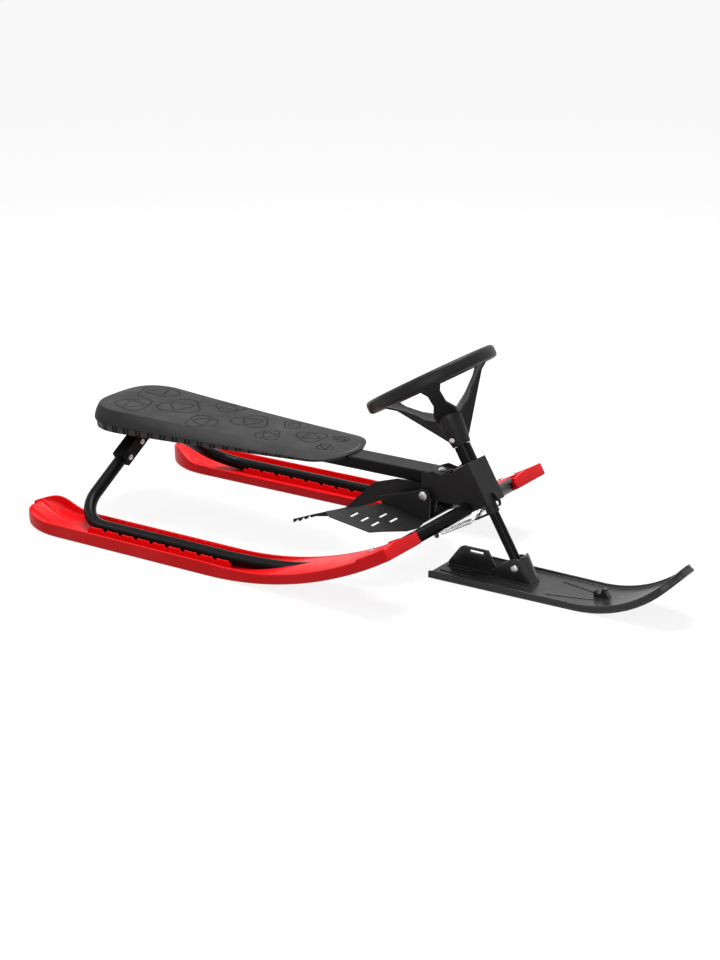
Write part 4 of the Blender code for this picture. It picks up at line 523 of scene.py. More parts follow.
class SharedGroups:
    """The node groups that several finishes use, each built once."""

    cloud_scale: float = 9.0
    cloud_range: tuple[float, float] = (0.35, 0.65)
    speck_scale: float = 240.0
    speck_range: tuple[float, float] = (0.62, 0.72)
    # Range of the mask for the painted highlight along hard edges.
    edge_highlight_range: tuple[float, float] = (0.995, 0.86)
    patch_scale: float = 26.0
    patch_range: tuple[float, float] = (0.3, 0.7)
    upward_range: tuple[float, float] = (0.2, 0.95)
    line_range: tuple[float, float] = (1.0, 0.25)

    @staticmethod
    def start(
        name: str, inputs: dict[str, float], outputs: dict[str, str]
    ) -> tuple[Wiring, bpy.types.Node, bpy.types.Node]:
        """Begin a group with its named sockets.

        Args:
            name: Name of the group.
            inputs: Its inputs, each with its usual value.
            outputs: Its outputs, each with its socket type.

        Returns:
            The group's wiring, its input node and its output node.
        """
        tree = bpy.data.node_groups.new(name, "ShaderNodeTree")
        for key, value in inputs.items():
            socket = tree.interface.new_socket(key, in_out="INPUT", socket_type="NodeSocketFloat")
            socket.default_value = value
        for key, kind in outputs.items():
            tree.interface.new_socket(key, in_out="OUTPUT", socket_type=kind)
        wiring = Wiring(tree)
        return wiring, wiring.node("NodeGroupInput"), wiring.node("NodeGroupOutput")

    @classmethod
    @cache
    def relief(cls) -> bpy.types.NodeTree:
        """Build the group of fine relief, cloudy variation and small specks.

        Returns:
            The group.
        """
        wiring, given, out = cls.start(
            "surface_relief",
            {"Noise Scale": 600.0, "Cell Scale": 900.0, "Cell Share": 0.5},
            {"Height": "NodeSocketFloat", "Cloud": "NodeSocketFloat", "Speck": "NodeSocketFloat"},
        )
        place = wiring.node("ShaderNodeTexCoord").outputs["Object"]

        def noise(scale: object, detail: float, roughness: float = 0.5) -> bpy.types.NodeSocket:
            """Return noise of a scale over the piece."""
            inputs = {"Vector": place, "Scale": scale, "Detail": detail, "Roughness": roughness}
            return wiring.node("ShaderNodeTexNoise", inputs=inputs).outputs[0]

        fine = noise(given.outputs["Noise Scale"], 3.0)
        cell_inputs = {"Vector": place, "Scale": given.outputs["Cell Scale"]}
        cells = wiring.node("ShaderNodeTexVoronoi", inputs=cell_inputs)
        cloud = noise(cls.cloud_scale, 4.0, 0.6)
        speck = noise(cls.speck_scale, 2.0)
        cell_part = wiring.maths("MULTIPLY", cells.outputs["Distance"], given.outputs["Cell Share"])
        wiring.feed(out.inputs["Height"], wiring.maths("ADD", fine, cell_part))
        wiring.feed(out.inputs["Cloud"], wiring.ramp(cloud, *cls.cloud_range))
        wiring.feed(out.inputs["Speck"], wiring.ramp(speck, *cls.speck_range))
        return wiring.tree

    @classmethod
    @cache
    def edges(cls) -> bpy.types.NodeTree:
        """Build the group that rounds hard edges and masks them for a painted highlight.

        Returns:
            The group.
        """
        wiring, given, out = cls.start(
            "edge_round_and_highlight", {"Radius": 0.0007}, {"Normal": "NodeSocketVector", "Mask": "NodeSocketFloat"}
        )
        rounded = wiring.node("ShaderNodeBevel", samples=6, inputs={"Radius": given.outputs["Radius"]})
        geometry = wiring.node("ShaderNodeNewGeometry")
        sides = {0: rounded.outputs[0], 1: geometry.outputs["Normal"]}
        level = wiring.node("ShaderNodeVectorMath", operation="DOT_PRODUCT", inputs=sides)
        wiring.feed(out.inputs["Normal"], rounded.outputs[0])
        wiring.feed(out.inputs["Mask"], wiring.ramp(level.outputs["Value"], *cls.edge_highlight_range))
        return wiring.tree

    @classmethod
    @cache
    def dust(cls) -> bpy.types.NodeTree:
        """Build the group that masks the light dust on faces that look up.

        Returns:
            The group.
        """
        wiring, given, out = cls.start("settled_dust", {"Amount": 0.05}, {"Mask": "NodeSocketFloat"})
        geometry = wiring.node("ShaderNodeNewGeometry")
        parts = wiring.node("ShaderNodeSeparateXYZ", inputs={0: geometry.outputs["Normal"]})
        place = wiring.node("ShaderNodeTexCoord").outputs["Object"]
        patches = wiring.node(
            "ShaderNodeTexNoise", inputs={"Vector": place, "Scale": cls.patch_scale, "Detail": 5.0}
        )
        up = wiring.ramp(parts.outputs[2], *cls.upward_range)
        patchy = wiring.ramp(patches.outputs[0], *cls.patch_range)
        settled = wiring.maths("MULTIPLY", wiring.maths("MULTIPLY", up, patchy), given.outputs["Amount"])
        wiring.feed(out.inputs["Mask"], settled)
        return wiring.tree

    @classmethod
    @cache
    def motif(cls) -> bpy.types.NodeTree:
        """Build the group that draws one rounded triangle with a smaller one in it.

        Returns:
            The group.
        """
        wiring, given, out = cls.start(
            "seat_motif",
            {"Centre X": 0.0, "Centre Y": 0.0, "Radius": 0.03, "Turn": 0.0, "Line": 0.0013},
            {"Line": "NodeSocketFloat"},
        )
        maths = wiring.maths
        place = wiring.node("ShaderNodeTexCoord").outputs["Object"]
        parts = wiring.node("ShaderNodeSeparateXYZ", inputs={0: place})
        x = maths("SUBTRACT", parts.outputs[0], given.outputs["Centre X"])
        y = maths("SUBTRACT", parts.outputs[1], given.outputs["Centre Y"])
        angle = maths("ARCTAN2", y, x)
        reach = maths("SQRT", maths("ADD", maths("MULTIPLY", x, x), maths("MULTIPLY", y, y)))
        turned = maths("SUBTRACT", angle, given.outputs["Turn"])
        lobes = maths("COSINE", maths("MULTIPLY", turned, float(LOBES)))
        swell = maths("ADD", maths("MULTIPLY", lobes, LOBE_DEPTH), 1.0)
        outline = maths("MULTIPLY", swell, given.outputs["Radius"])
        gap = maths("ABSOLUTE", maths("SUBTRACT", reach, outline))
        waist = maths("SUBTRACT", 1.0, maths("MULTIPLY", lobes, INNER_LOBE_DEPTH))
        inner = maths("MULTIPLY", maths("MULTIPLY", waist, INNER_SHARE), given.outputs["Radius"])
        inner_gap = maths("ABSOLUTE", maths("SUBTRACT", reach, inner))
        share = maths("DIVIDE", maths("MINIMUM", gap, inner_gap), given.outputs["Line"])
        near, far = cls.line_range
        soft = wiring.node(
            "ShaderNodeMapRange", interpolation_type="SMOOTHSTEP",
            inputs={"Value": share, "From Min": near, "From Max": far},
        )
        wiring.feed(out.inputs["Line"], soft.outputs[0])
        return wiring.tree


@dataclass(frozen=True)
class Motif:
    """One pressed figure of the seat: station, distance left, size in metres and turn in degrees."""

    station: float
    across: float
    radius: float
    turn: float
    line: float = 0.0022

    def press(self, plan: Vector) -> float:
        """Tell how deep a point of the seat lies in one of the figure's two lines.

        Args:
            plan: The point's station and its distance left.

        Returns:
            The depth's share, from 0 beside the lines to 1 in their middle.
        """
        ahead = plan.x - self.station
        left = plan.y - self.across
        reach = math.hypot(ahead, left)
        if reach > self.radius * LOBE_REACH:
            return 0.0
        lobes = math.cos(LOBES * (math.atan2(left, ahead) - math.radians(self.turn)))
        outer = abs(reach - self.radius * (1 + LOBE_DEPTH * lobes))
        inner = abs(reach - self.radius * INNER_SHARE * (1 - INNER_LOBE_DEPTH * lobes))
        return eased(max(0.0, 1 - min(outer, inner) / self.line))


SEAT_MOTIFS = (
    Motif(0.100, 0.040, 0.036, 20.0),
    Motif(0.112, -0.042, 0.031, 75.0),
    Motif(0.186, -0.002, 0.037, -15.0),
    Motif(0.258, 0.047, 0.026, 50.0),
    Motif(0.266, -0.045, 0.027, 10.0),
    Motif(0.336, 0.006, 0.032, 95.0),
    Motif(0.402, -0.035, 0.021, -30.0),
    Motif(0.406, 0.038, 0.021, 35.0),
    Motif(0.466, 0.001, 0.025, 60.0),
    Motif(0.512, -0.025, 0.013, 0.0),
    Motif(0.510, 0.027, 0.013, 60.0),
)


class Paint:
    """Builds the procedural material of each finish, once."""

    dust_tone: tuple[int, int, int] = (205, 205, 208)
    speck_roughness: float = 0.06
    # Painted shade of the seat's sloping band, which faces away from the light above.
    band_shade_tone: tuple[int, int, int] = (32, 32, 33)
    top_range: tuple[float, float] = (0.75, 0.9)
    # Painted shade in the seat's pressed lines, and how strongly it darkens them.
    figure_shade_tone: tuple[int, int, int] = (20, 20, 21)
    figure_shade_share: float = 0.8
    figure_depth: float = 0.0008

    @classmethod
    @cache
    def of(cls, finish: Finish) -> bpy.types.Material:
        """Mix one finish from the shared groups.

        Args:
            finish: The finish to mix.

        Returns:
            The finish's material, the same one at each call.
        """
        material = bpy.data.materials.new(finish.name)
        material.use_nodes = True
        material.node_tree.nodes.clear()
        wiring = Wiring(material.node_tree)
        grain = GRAINS[finish.grain]
        relief = wiring.node(
            "ShaderNodeGroup", node_tree=SharedGroups.relief(),
            inputs={
                "Noise Scale": grain.noise_scale,
                "Cell Scale": grain.cell_scale,
                "Cell Share": grain.cell_share,
            },
        ).outputs
        edges = wiring.node(
            "ShaderNodeGroup", node_tree=SharedGroups.edges(), inputs={"Radius": finish.edge_radius}
        ).outputs
        dust = wiring.node(
            "ShaderNodeGroup", node_tree=SharedGroups.dust(), inputs={"Amount": finish.dust}
        ).outputs
        body = wiring.blend(relief["Cloud"], linear(finish.deep), linear(finish.colour))
        # Hard edges are lightened towards the finish's edge colour: a painted highlight.
        edge_highlight = wiring.maths("MULTIPLY", edges["Mask"], finish.edge_highlight_share)
        coloured = wiring.blend(edge_highlight, body, linear(finish.edge))
        colour = wiring.blend(dust["Mask"], coloured, linear(cls.dust_tone))
        low = finish.roughness - finish.roughness_spread
        high = finish.roughness + finish.roughness_spread
        cloudy = wiring.ramp(relief["Cloud"], 0.0, 1.0, high, low)
        rough = wiring.maths("ADD", cloudy, wiring.maths("MULTIPLY", relief["Speck"], cls.speck_roughness))
        normal = wiring.node(
            "ShaderNodeBump",
            inputs={"Height": relief["Height"], "Distance": grain.height, "Normal": edges["Normal"]},
        ).outputs[0]
        if finish is SEAT_SKIN:
            colour, normal = cls.embossed(wiring, colour, normal)
        shader = wiring.node(
            "ShaderNodeBsdfPrincipled",
            inputs={
                "Metallic": finish.metallic,
                "Specular IOR Level": finish.specular,
                "Base Color": colour,
                "Roughness": rough,
                "Normal": normal,
            },
        )
        wiring.node("ShaderNodeOutputMaterial", inputs={"Surface": shader.outputs[0]})
        return material

    @classmethod
    def embossed(
        cls, wiring: Wiring, colour: bpy.types.NodeSocket, normal: bpy.types.NodeSocket
    ) -> tuple[bpy.types.NodeSocket, bpy.types.NodeSocket]:
        """Press the seat's figures into its top and darken its sloping band with painted shade.

        Args:
            wiring: Wiring of the seat's material.
            colour: The colour so far.
            normal: The normal so far.

        Returns:
            The colour and the normal with the band and the pressed lines, both darkened as painted shade.
        """
        lines = None
        for motif in SEAT_MOTIFS:
            drawn = wiring.node(
                "ShaderNodeGroup", node_tree=SharedGroups.motif(),
                inputs={
                    "Centre X": motif.station - MIDDLE,
                    "Centre Y": motif.across,
                    "Radius": motif.radius,
                    "Turn": math.radians(motif.turn),
                },
            ).outputs[0]
            lines = drawn if lines is None else wiring.maths("MAXIMUM", lines, drawn)
        geometry = wiring.node("ShaderNodeNewGeometry")
        parts = wiring.node("ShaderNodeSeparateXYZ", inputs={0: geometry.outputs["Normal"]})
        on_top = wiring.ramp(parts.outputs[2], *cls.top_range)
        lines = wiring.maths("MULTIPLY", lines, on_top)
        # Faces that don't look up take the band's darker tone: painted shade.
        skin = wiring.blend(on_top, linear(cls.band_shade_tone), colour)
        pressed = wiring.node(
            "ShaderNodeBump", invert=True,
            inputs={"Height": lines, "Distance": cls.figure_depth, "Normal": normal},
        ).outputs[0]
        # The pressed lines are darkened: painted shade in the grooves.
        shade = wiring.maths("MULTIPLY", lines, cls.figure_shade_share)
        return wiring.blend(shade, skin, linear(cls.figure_shade_tone)), pressed


@dataclass
class Runner:
    """A long plastic trough with a scooped tail, toothed ribs and a raised front lip.

    Distances run along the sole from the tail, and heights stand square to it.
    """

    side: int
    start: float = 0.012
    spread: float = 0.204
    half_width: float = 0.0485
    floor: float = 0.008
    wall: float = 0.004
    foot_round: float = 0.004
    fillet: float = 0.004
    edge_round: float = 0.0008
    row_length: float = 0.0022
    round_steps: int = 6
    upright_steps: int = 4
    rim_steps: int = 8
    floor_steps: int = 16
    tail_steps: int = 46
    tail_rounding: float = 0.075
    tail_power: float = 2.1
    tail_length: float = 0.107
    tail_rise: float = 0.014
    tail_rim: float = 0.021
    tail_swell: float = 0.0165
    tail_crest: float = 0.038
    tail_crest_width: float = 0.031
    flat_end: float = 0.430
    rise_radius: float = 0.670
    outer_rim: float = 0.024
    inner_rim: float = 0.018
    lip_rim: float = 0.021
    lip: float = 0.7446
    end: float = 0.8026
    gap: tuple[float, float] = (0.7670, 0.7965)
    gap_ramp: float = 0.0008
    gap_floor: float = -0.010
    rib_start: dict[int, float] = field(default_factory=lambda: {OUTWARDS: 0.146, INWARDS: 0.1767})
    rib_end: float = 0.455
    rib_offset: float = 0.0128
    rib_height: float = 0.0115
    rib_root: float = 0.0015
    rib_thickness: float = 0.0026
    rib_row: float = 0.0010
    tooth_first: float = 0.184
    tooth_pitch: float = 0.0338
    tooth_count: int = 9
    tooth_depth: float = 0.006
    tooth_half: float = 0.006
    notch_shares: tuple[float, float, float] = (0.36, 0.50, 0.64)
    notch_depth: float = 0.0018
    notch_half: float = 0.0021
    mark_span: tuple[float, float] = (0.15, 0.43)
    mark_heights: tuple[float, float] = (0.011, 0.0175)
    mark_middle: float = 0.014
    mark_slant: float = 0.6
    mark_depth: float = 0.0009
    mark_length: float = 0.0062
    ridge_offsets: tuple[float, float] = (0.0165, -0.01485)
    ridge_height: float = 0.0046
    ridge_width: float = 0.0030
    ridge_end: float = 0.118
    ridge_fade: float = 0.060
    cover_start: float = 0.450
    cover_length: float = 0.170
    cover_edge: float = 0.0165
    cover_crown: float = 0.0220
    bolt_distance: float = 0.7440
    bolt_parts: tuple[tuple[str, int, float, float, float], ...] = (
        ("washer", 40, 0.0058, -0.0006, 0.0006),
        ("head", 6, 0.0044, 0.0006, 0.0030),
        ("shank", 24, 0.0025, -0.018, 0.0),
    )

    def name(self, part: str) -> str:
        """Return a part's name with the side's word."""
        return f"{part}_{'left' if self.side == LEFT else 'right'}"

    def line(self, distance: float) -> tuple[float, float, float]:
        """Follow the sole: a rising tail, a flat stretch and the front's arc.

        Args:
            distance: Distance along the sole.

        Returns:
            The station, the height and the slope there.
        """
        if distance < self.flat_end:
            share = max(0.0, 1 - distance / self.tail_length)
            return distance, self.tail_rise * share**2, 0.0
        slope = (distance - self.flat_end) / self.rise_radius
        station = self.flat_end + self.rise_radius * math.sin(slope)
        return station, self.rise_radius * (1 - math.cos(slope)), slope

    def world(self, distance: float, across: float, up: float) -> Vector:
        """Find a point by its place on the runner.

        Args:
            distance: Distance along the sole.
            across: Distance outwards from the sole's middle.
            up: Height above the sole.

        Returns:
            The point in the world.
        """
        station, height, slope = self.line(distance)
        left = self.side * (self.spread + across)
        return at(station - up * math.sin(slope), left, height + up * math.cos(slope))

    def width(self, distance: float) -> float:
        """Return the half width of the outline at a distance."""
        return self.half_width * rounding(distance - self.start, self.tail_rounding, self.tail_power)

    def outline(self) -> list[tuple[Vector, Vector]]:
        """Follow the outer half of the outline from tail to front.

        Returns:
            Plan points (distance, half width), each with its outward direction.
        """
        quarter = math.pi / 2 / self.tail_steps
        tail = self.start + self.tail_rounding
        spots = [tail - self.tail_rounding * math.cos(quarter * step) for step in range(self.tail_steps + 1)]
        count = round((self.end - tail) / self.row_length)
        spots += [tail + (self.end - tail) * step / count for step in range(1, count + 1)]
        spots += [self.lip - self.wall, self.lip]
        spots += [*self.gap, self.gap[0] - self.gap_ramp, self.gap[1] + self.gap_ramp]
        points = [Vector((spot, self.width(spot))) for spot in sorted(spots)]
        found = []
        for index, point in enumerate(points):
            way = Vector((0.0, 1.0))
            if index:
                way = (points[min(index + 1, len(points) - 1)] - points[index - 1]).normalized()
            found.append((point, Vector((-way.y, way.x))))
        return found

    def in_gap(self, distance: float) -> bool:
        """Return whether a distance lies in the gap through which the tube leaves."""
        return self.gap[0] - MERGE < distance < self.gap[1] + MERGE

    def rim(self, outer: bool, distance: float) -> float:
        """Follow the rim of one wall.

        Args:
            outer: Whether it is the outer wall, and not the one towards the sled's middle.
            distance: Distance along the sole.

        Returns:
            The rim's height.
        """
        front = [
            (self.flat_end + self.tail_length, self.inner_rim),
            (self.lip - self.wall, self.inner_rim),
            (self.lip, self.lip_rim),
        ]
        if outer:
            level = [(self.tail_length, self.outer_rim), (self.flat_end, self.outer_rim)]
            return stepped(distance, [(self.start, self.tail_rim)] + level + front)
        if self.in_gap(distance):
            return self.floor
        swell = self.tail_swell * math.exp(-(((distance - self.tail_crest) / self.tail_crest_width) ** 2))
        return stepped(distance, [(self.flat_end, self.inner_rim)] + front) + swell

    def bed(self, distance: float, across: float) -> float:
        """Follow the trough's floor, with the tail's scoop and ridges and the cover over the tube.

        Args:
            distance: Distance along the sole.
            across: Distance outwards from its middle.

        Returns:
            The floor's height above the sole.
        """
        inside = self.start + self.wall
        scoop = max(0.0, 1 - (distance - inside) / (self.tail_rounding - self.wall)) ** 2
        inwards = share_between(0.5 - across / (2 * max(self.width(distance), self.wall)), 0.0, 1.0)
        rim = self.tail_rim + (self.rim(False, distance) - self.tail_rim) * inwards
        height = self.floor + (rim - self.wall * 0.7 - self.floor) * scoop
        if across > self.gap_floor or not self.in_gap(distance):
            crown = (self.cover_crown - self.cover_edge) * (1 - (across / self.half_width) ** 2)
            covered = eased(share_between(distance, self.cover_start, self.cover_start + self.cover_length))
            height += (self.cover_edge + crown - self.floor) * covered
        fade = share_between(distance, self.ridge_end, self.ridge_end - self.ridge_fade)
        for middle in self.ridge_offsets:
            height += self.ridge_height * fade * math.exp(-(((across - middle) / self.ridge_width) ** 2))
        return height

    def mark(self, distance: float, up: float, outer: bool) -> float:
        """Place the small slanted marks that are moulded into the wall towards the sled's middle.

        Args:
            distance: Distance along the sole.
            up: Height above it.
            outer: Whether the point is on the outer wall, which has none.

        Returns:
            How deep a mark is there.
        """
        start, end = self.mark_span
        low, high = self.mark_heights
        if outer or not start < distance < end or not low < up < high:
            return 0.0
        phase = (distance - start + (up - self.mark_middle) * self.mark_slant) % (self.tooth_pitch / 2)
        return self.mark_depth if phase < self.mark_length else 0.0

    def half_ring(self, point: Vector, outwards: Vector, outer: bool) -> list[Vector]:
        """Follow one half of a section, from the middle of the sole to the middle of the floor.

        Args:
            point: Plan point of the outline.
            outwards: Outward direction there.
            outer: Whether it is the outer half.

        Returns:
            The half section's points in the world.
        """
        sign = 1 if outer else -1
        rim = self.rim(outer, point.x)
        turns = [math.pi / 2 * step / self.round_steps for step in range(self.round_steps)]

        def spot(inset: float, up: float) -> Vector:
            """Return a point at an inset from the outline and a height."""
            plan = point - outwards * inset
            return self.world(plan.x, sign * max(plan.y, 0.0), up)

        foot = point - outwards * self.foot_round
        half = sign * max(foot.y, 0.0)
        ring = [self.world(foot.x, half * step / self.round_steps, 0.0) for step in range(self.round_steps)]
        for turn in turns:
            ring.append(spot(self.foot_round * (1 - math.sin(turn)), self.foot_round * (1 - math.cos(turn))))
        crest = self.wall / 2
        top = max(rim - crest, self.foot_round + 0.0002)
        for step in range(self.upright_steps):
            ring.append(spot(0.0, self.foot_round + (top - self.foot_round) * step / self.upright_steps))
        lift = max(min(crest, rim - top), 0.0)
        for step in range(self.rim_steps + 1):
            turn = math.pi * step / self.rim_steps
            ring.append(spot(crest * (1 - math.cos(turn)), top + lift * math.sin(turn)))
        base = self.bed(point.x, sign * (point.y - self.wall))
        fillet = min(self.fillet, max(rim - base, 0.0) * 0.6)
        low = min(base + fillet, top)
        for step in range(1, self.round_steps):
            up = top + (low - top) * step / self.round_steps
            ring.append(spot(self.wall + self.mark(point.x, up, outer), up))
        corner = point - outwards * (self.wall + fillet)
        half = sign * max(corner.y, 0.0)
        ground = self.bed(corner.x, half)
        for turn in turns:
            up = low + (ground - low) * math.sin(turn)
            ring.append(spot(self.wall + fillet * (1 - math.cos(turn)), up))
        for step in range(self.floor_steps + 1):
            across = half * (1 - step / self.floor_steps)
            ring.append(self.world(corner.x, across, self.bed(corner.x, across)))
        return ring

    def trough(self) -> bpy.types.Object:
        """Build the trough itself.

        Returns:
            The closed trough.
        """
        rings = []
        for point, outwards in self.outline():
            outer = self.half_ring(point, outwards, True)
            inner = self.half_ring(point, outwards, False)
            rings.append(outer + inner[-2::-1])
        piece = shaped_rows(self.name("runner_shell"), rings)
        fill_openings(piece)
        soften(piece, self.edge_round, 2, 50.0)
        return piece

    def crest_drop(self, distance: float, start: float) -> float:
        """Cut the teeth and the small notches between them into a rib's crest.

        Args:
            distance: Distance along the sole.
            start: Distance at which the rib starts.

        Returns:
            How far the crest drops there.
        """
        drop = max(0.0, self.tooth_depth - (distance - start), self.tooth_depth - (self.rib_end - distance))
        for index in range(self.tooth_count):
            centre = self.tooth_first + index * self.tooth_pitch
            drop = max(drop, self.tooth_depth * (1 - abs(distance - centre) / self.tooth_half))
            for share in self.notch_shares:
                notch = centre + self.tooth_pitch * share
                drop = max(drop, self.notch_depth * (1 - abs(distance - notch) / self.notch_half))
        return drop

    def rib(self, direction: int) -> bpy.types.Object:
        """Build one toothed rib beside the tube.

        Args:
            direction: Outwards or inwards from the tube.

        Returns:
            The rib.
        """
        start = self.rib_start[direction]
        rows = round((self.rib_end - start) / self.rib_row)
        columns = 5

        def place(row: int, column: int) -> Vector:
            """Return a point of the rib's middle sheet.

            Args:
                row: Row of the grid.
                column: Column of the grid.

            Returns:
                The point in the world.
            """
            distance = start + (self.rib_end - start) * row / rows
            top = self.floor + self.rib_height - self.crest_drop(distance, start)
            low = self.floor - self.rib_root
            return self.world(distance, direction * self.rib_offset, low + (top - low) * column / columns)

        piece = shaped_grid(self.name(f"rib_{direction}"), rows, columns, place)
        thicken(piece, self.rib_thickness)
        soften(piece, self.edge_round / 2, 1, 60.0)
        return piece

    def bolt(self) -> None:
        """Set the bolt that goes through the cover into the tube, and let it stand for its node."""
        foot = self.world(self.bolt_distance, 0.0, 0.0)
        way = (self.world(self.bolt_distance, 0.0, 1.0) - foot).normalized()
        place = foot + way * self.cover_crown
        parts = []
        for part, sides, radius, low, high in self.bolt_parts:
            deselect()
            bpy.ops.mesh.primitive_cylinder_add(
                vertices=sides, radius=radius, depth=high - low, location=place + way * (low + high) / 2,
                rotation=way.to_track_quat("Z", "Y").to_euler(),
            )
            bpy.ops.object.transform_apply(location=True, rotation=True, scale=True)
            parts.append(named(self.name(f"cover_bolt_{part}")))
            soften(parts[-1], self.edge_round / 2, 2, 30.0)
        piece = joined(*parts)
        put(piece, "frame", ZINC, 30.0)
        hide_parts(self.name("runner_bolt"))

    def build(self) -> None:
        """Build the runner and its bolt, and let the runner stand for its node."""
        piece = joined(self.trough(), self.rib(OUTWARDS), self.rib(INWARDS))
        piece.name = self.name("runner_trough")
        put(piece, "frame", RUNNER_RED, 40.0)
        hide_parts(self.name("runner"))
        self.bolt()


@dataclass
class FrameTube:
    """One bent frame tube: leg, stretch along the runner and front arm."""

    side: int
    radius: float = 0.011
    rounds: int = 7
    height: float = 0.0195
    leg_station: float = 0.1080
    leg_lean: float = 0.0420
    leg_angle: float = math.radians(33.66)
    leg_top: float = 0.030
    leg_bend: float = 0.062
    sunk_height: float = 0.0105
    sink: tuple[float, float] = (0.450, 0.640)
    rise_end: float = 0.7318
    rise_steps: int = 50
    arm_lead: float = 0.040
    arm_bend: float = 0.045
    bend_step: float = math.radians(2.5)
    end_station: float = 0.7894
    end_height: float = 0.1197
    end_plane: float = 0.0271
    end_spare: float = 0.02

    def above(self, distance: float) -> float:
        """Return the axis's height above the sole at a distance: it sinks under the runner's cover."""
        return self.height + (self.sunk_height - self.height) * eased(share_between(distance, *self.sink))

    def bend(self, before: Vector, corner: Vector, after: Vector, radius: float) -> list[Vector]:
        """Return the points of one rounded bend.

        Args:
            before: A point of the straight that comes into the bend.
            corner: The point where the two straights would meet.
            after: A point of the straight that leaves it.
            radius: The bend's radius.

        Returns:
            The points from the bend's start to its end.
        """
        inward = (before - corner).normalized()
        outward = (after - corner).normalized()
        turn = math.pi - inward.angle(outward)
        centre = corner + (inward + outward).normalized() * (radius / math.cos(turn / 2))
        start = corner + inward * radius * math.tan(turn / 2) - centre
        end = corner + outward * radius * math.tan(turn / 2) - centre
        steps = math.ceil(turn / self.bend_step)
        return [centre + start.slerp(end, step / steps).normalized() * radius for step in range(steps + 1)]

    def path(self) -> list[Vector]:
        """Lay out the tube's axis: leg, bend, stretch along the runner, bend and arm.

        Returns:
            The axis's points in the world, from the seat to just past the arm's end.
        """
        runner = Runner(self.side)
        inwards = -self.side * math.cos(self.leg_angle)
        way = Vector((self.leg_lean, inwards, math.sin(self.leg_angle))).normalized()
        foot = at(self.leg_station, self.side * runner.spread, self.height)
        top = foot + way * ((runner.spread - self.leg_top) / abs(way.y))
        rise = []
        for step in range(self.rise_steps + 1):
            distance = runner.flat_end + (self.rise_end - runner.flat_end) * step / self.rise_steps
            rise.append(runner.world(distance, 0.0, self.above(distance)))
        elbow = rise[-1] + (rise[-1] - rise[-2]).normalized() * self.arm_lead
        end = at(self.end_station, self.side * self.end_plane, self.end_height)
        beyond = end + (end - elbow).normalized() * self.end_spare
        path = [top, *self.bend(top, foot, rise[0], self.leg_bend), *rise]
        return [*path, *self.bend(rise[-1], elbow, beyond, self.arm_bend), beyond]

    def build(self) -> None:
        """Bend the tube, cut its front end flat and let it stand for its node."""
        word = "left" if self.side == LEFT else "right"
        piece = bar(f"bent_tube_{word}", self.path(), self.radius, self.rounds)
        with editing(piece):
            bpy.ops.mesh.bisect(
                plane_co=(0, self.side * self.end_plane, 0), plane_no=(0, -self.side, 0),
                use_fill=True, clear_outer=True,
            )
            bpy.ops.mesh.select_all(action="SELECT")
            bpy.ops.mesh.normals_make_consistent(inside=False)
        put(piece, "frame", TUBE_BLACK, 40.0)
        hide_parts(f"frame_tube_{word}")


@dataclass(frozen=True)
class SeatEdge:
    """One closed line round the seat: its ends, widths, rounded ends and its two end heights."""

    start: float
    end: float
    half_width: float
    nose_half_width: float
    taper_start: float
    taper_ease: float
    rear: tuple[float, float]
    nose: tuple[float, float]
    heights: tuple[float, float]
    fine_steps: int = 1600

    def half_at(self, station: float) -> float:
        """Follow the line's width.

        Args:
            station: The station.

        Returns:
            The half width there.
        """
        share = max(0.0, (station - self.taper_start) / (self.end - self.taper_start))
        full = self.half_width + (self.nose_half_width - self.half_width) * share**self.taper_ease
        return full * rounding(station - self.start, *self.rear) * rounding(self.end - station, *self.nose)

    def height_at(self, station: float) -> float:
        """Return the line's height at a station."""
        rear, nose = self.heights
        return rear + (nose - rear) * share_between(station, self.start, self.end)

    def loop(self, steps: int) -> list[tuple[Vector, Vector]]:
        """Return the closed line in plan, evenly spaced, each point with its outward direction.

        Args:
            steps: Number of steps round the line, an even number.

        Returns:
            Pairs of plan point (station, across) and outward direction. The last pair is the first again.
        """
        side = []
        for step in range(self.fine_steps + 1):
            share = (1 - math.cos(math.pi * step / self.fine_steps)) / 2
            station = self.start + (self.end - self.start) * share
            side.append(Vector((station, self.half_at(station))))
        line = side + [Vector((point.x, -point.y)) for point in reversed(side[1:-1])]
        line.append(line[0].copy())
        lengths = [0.0]
        for before, after in zip(line, line[1:]):
            lengths.append(lengths[-1] + (after - before).length)
        spots = []
        index = 0
        for step in range(steps):
            wanted = lengths[-1] * step / steps
            while lengths[index + 1] < wanted:
                index += 1
            share = (wanted - lengths[index]) / (lengths[index + 1] - lengths[index])
            spots.append(line[index].lerp(line[index + 1], share))
        found = []
        for step, point in enumerate(spots):
            way = (spots[(step + 1) % steps] - spots[step - 1]).normalized()
            found.append((point, Vector((-way.y, way.x))))
        return found + [found[0]]


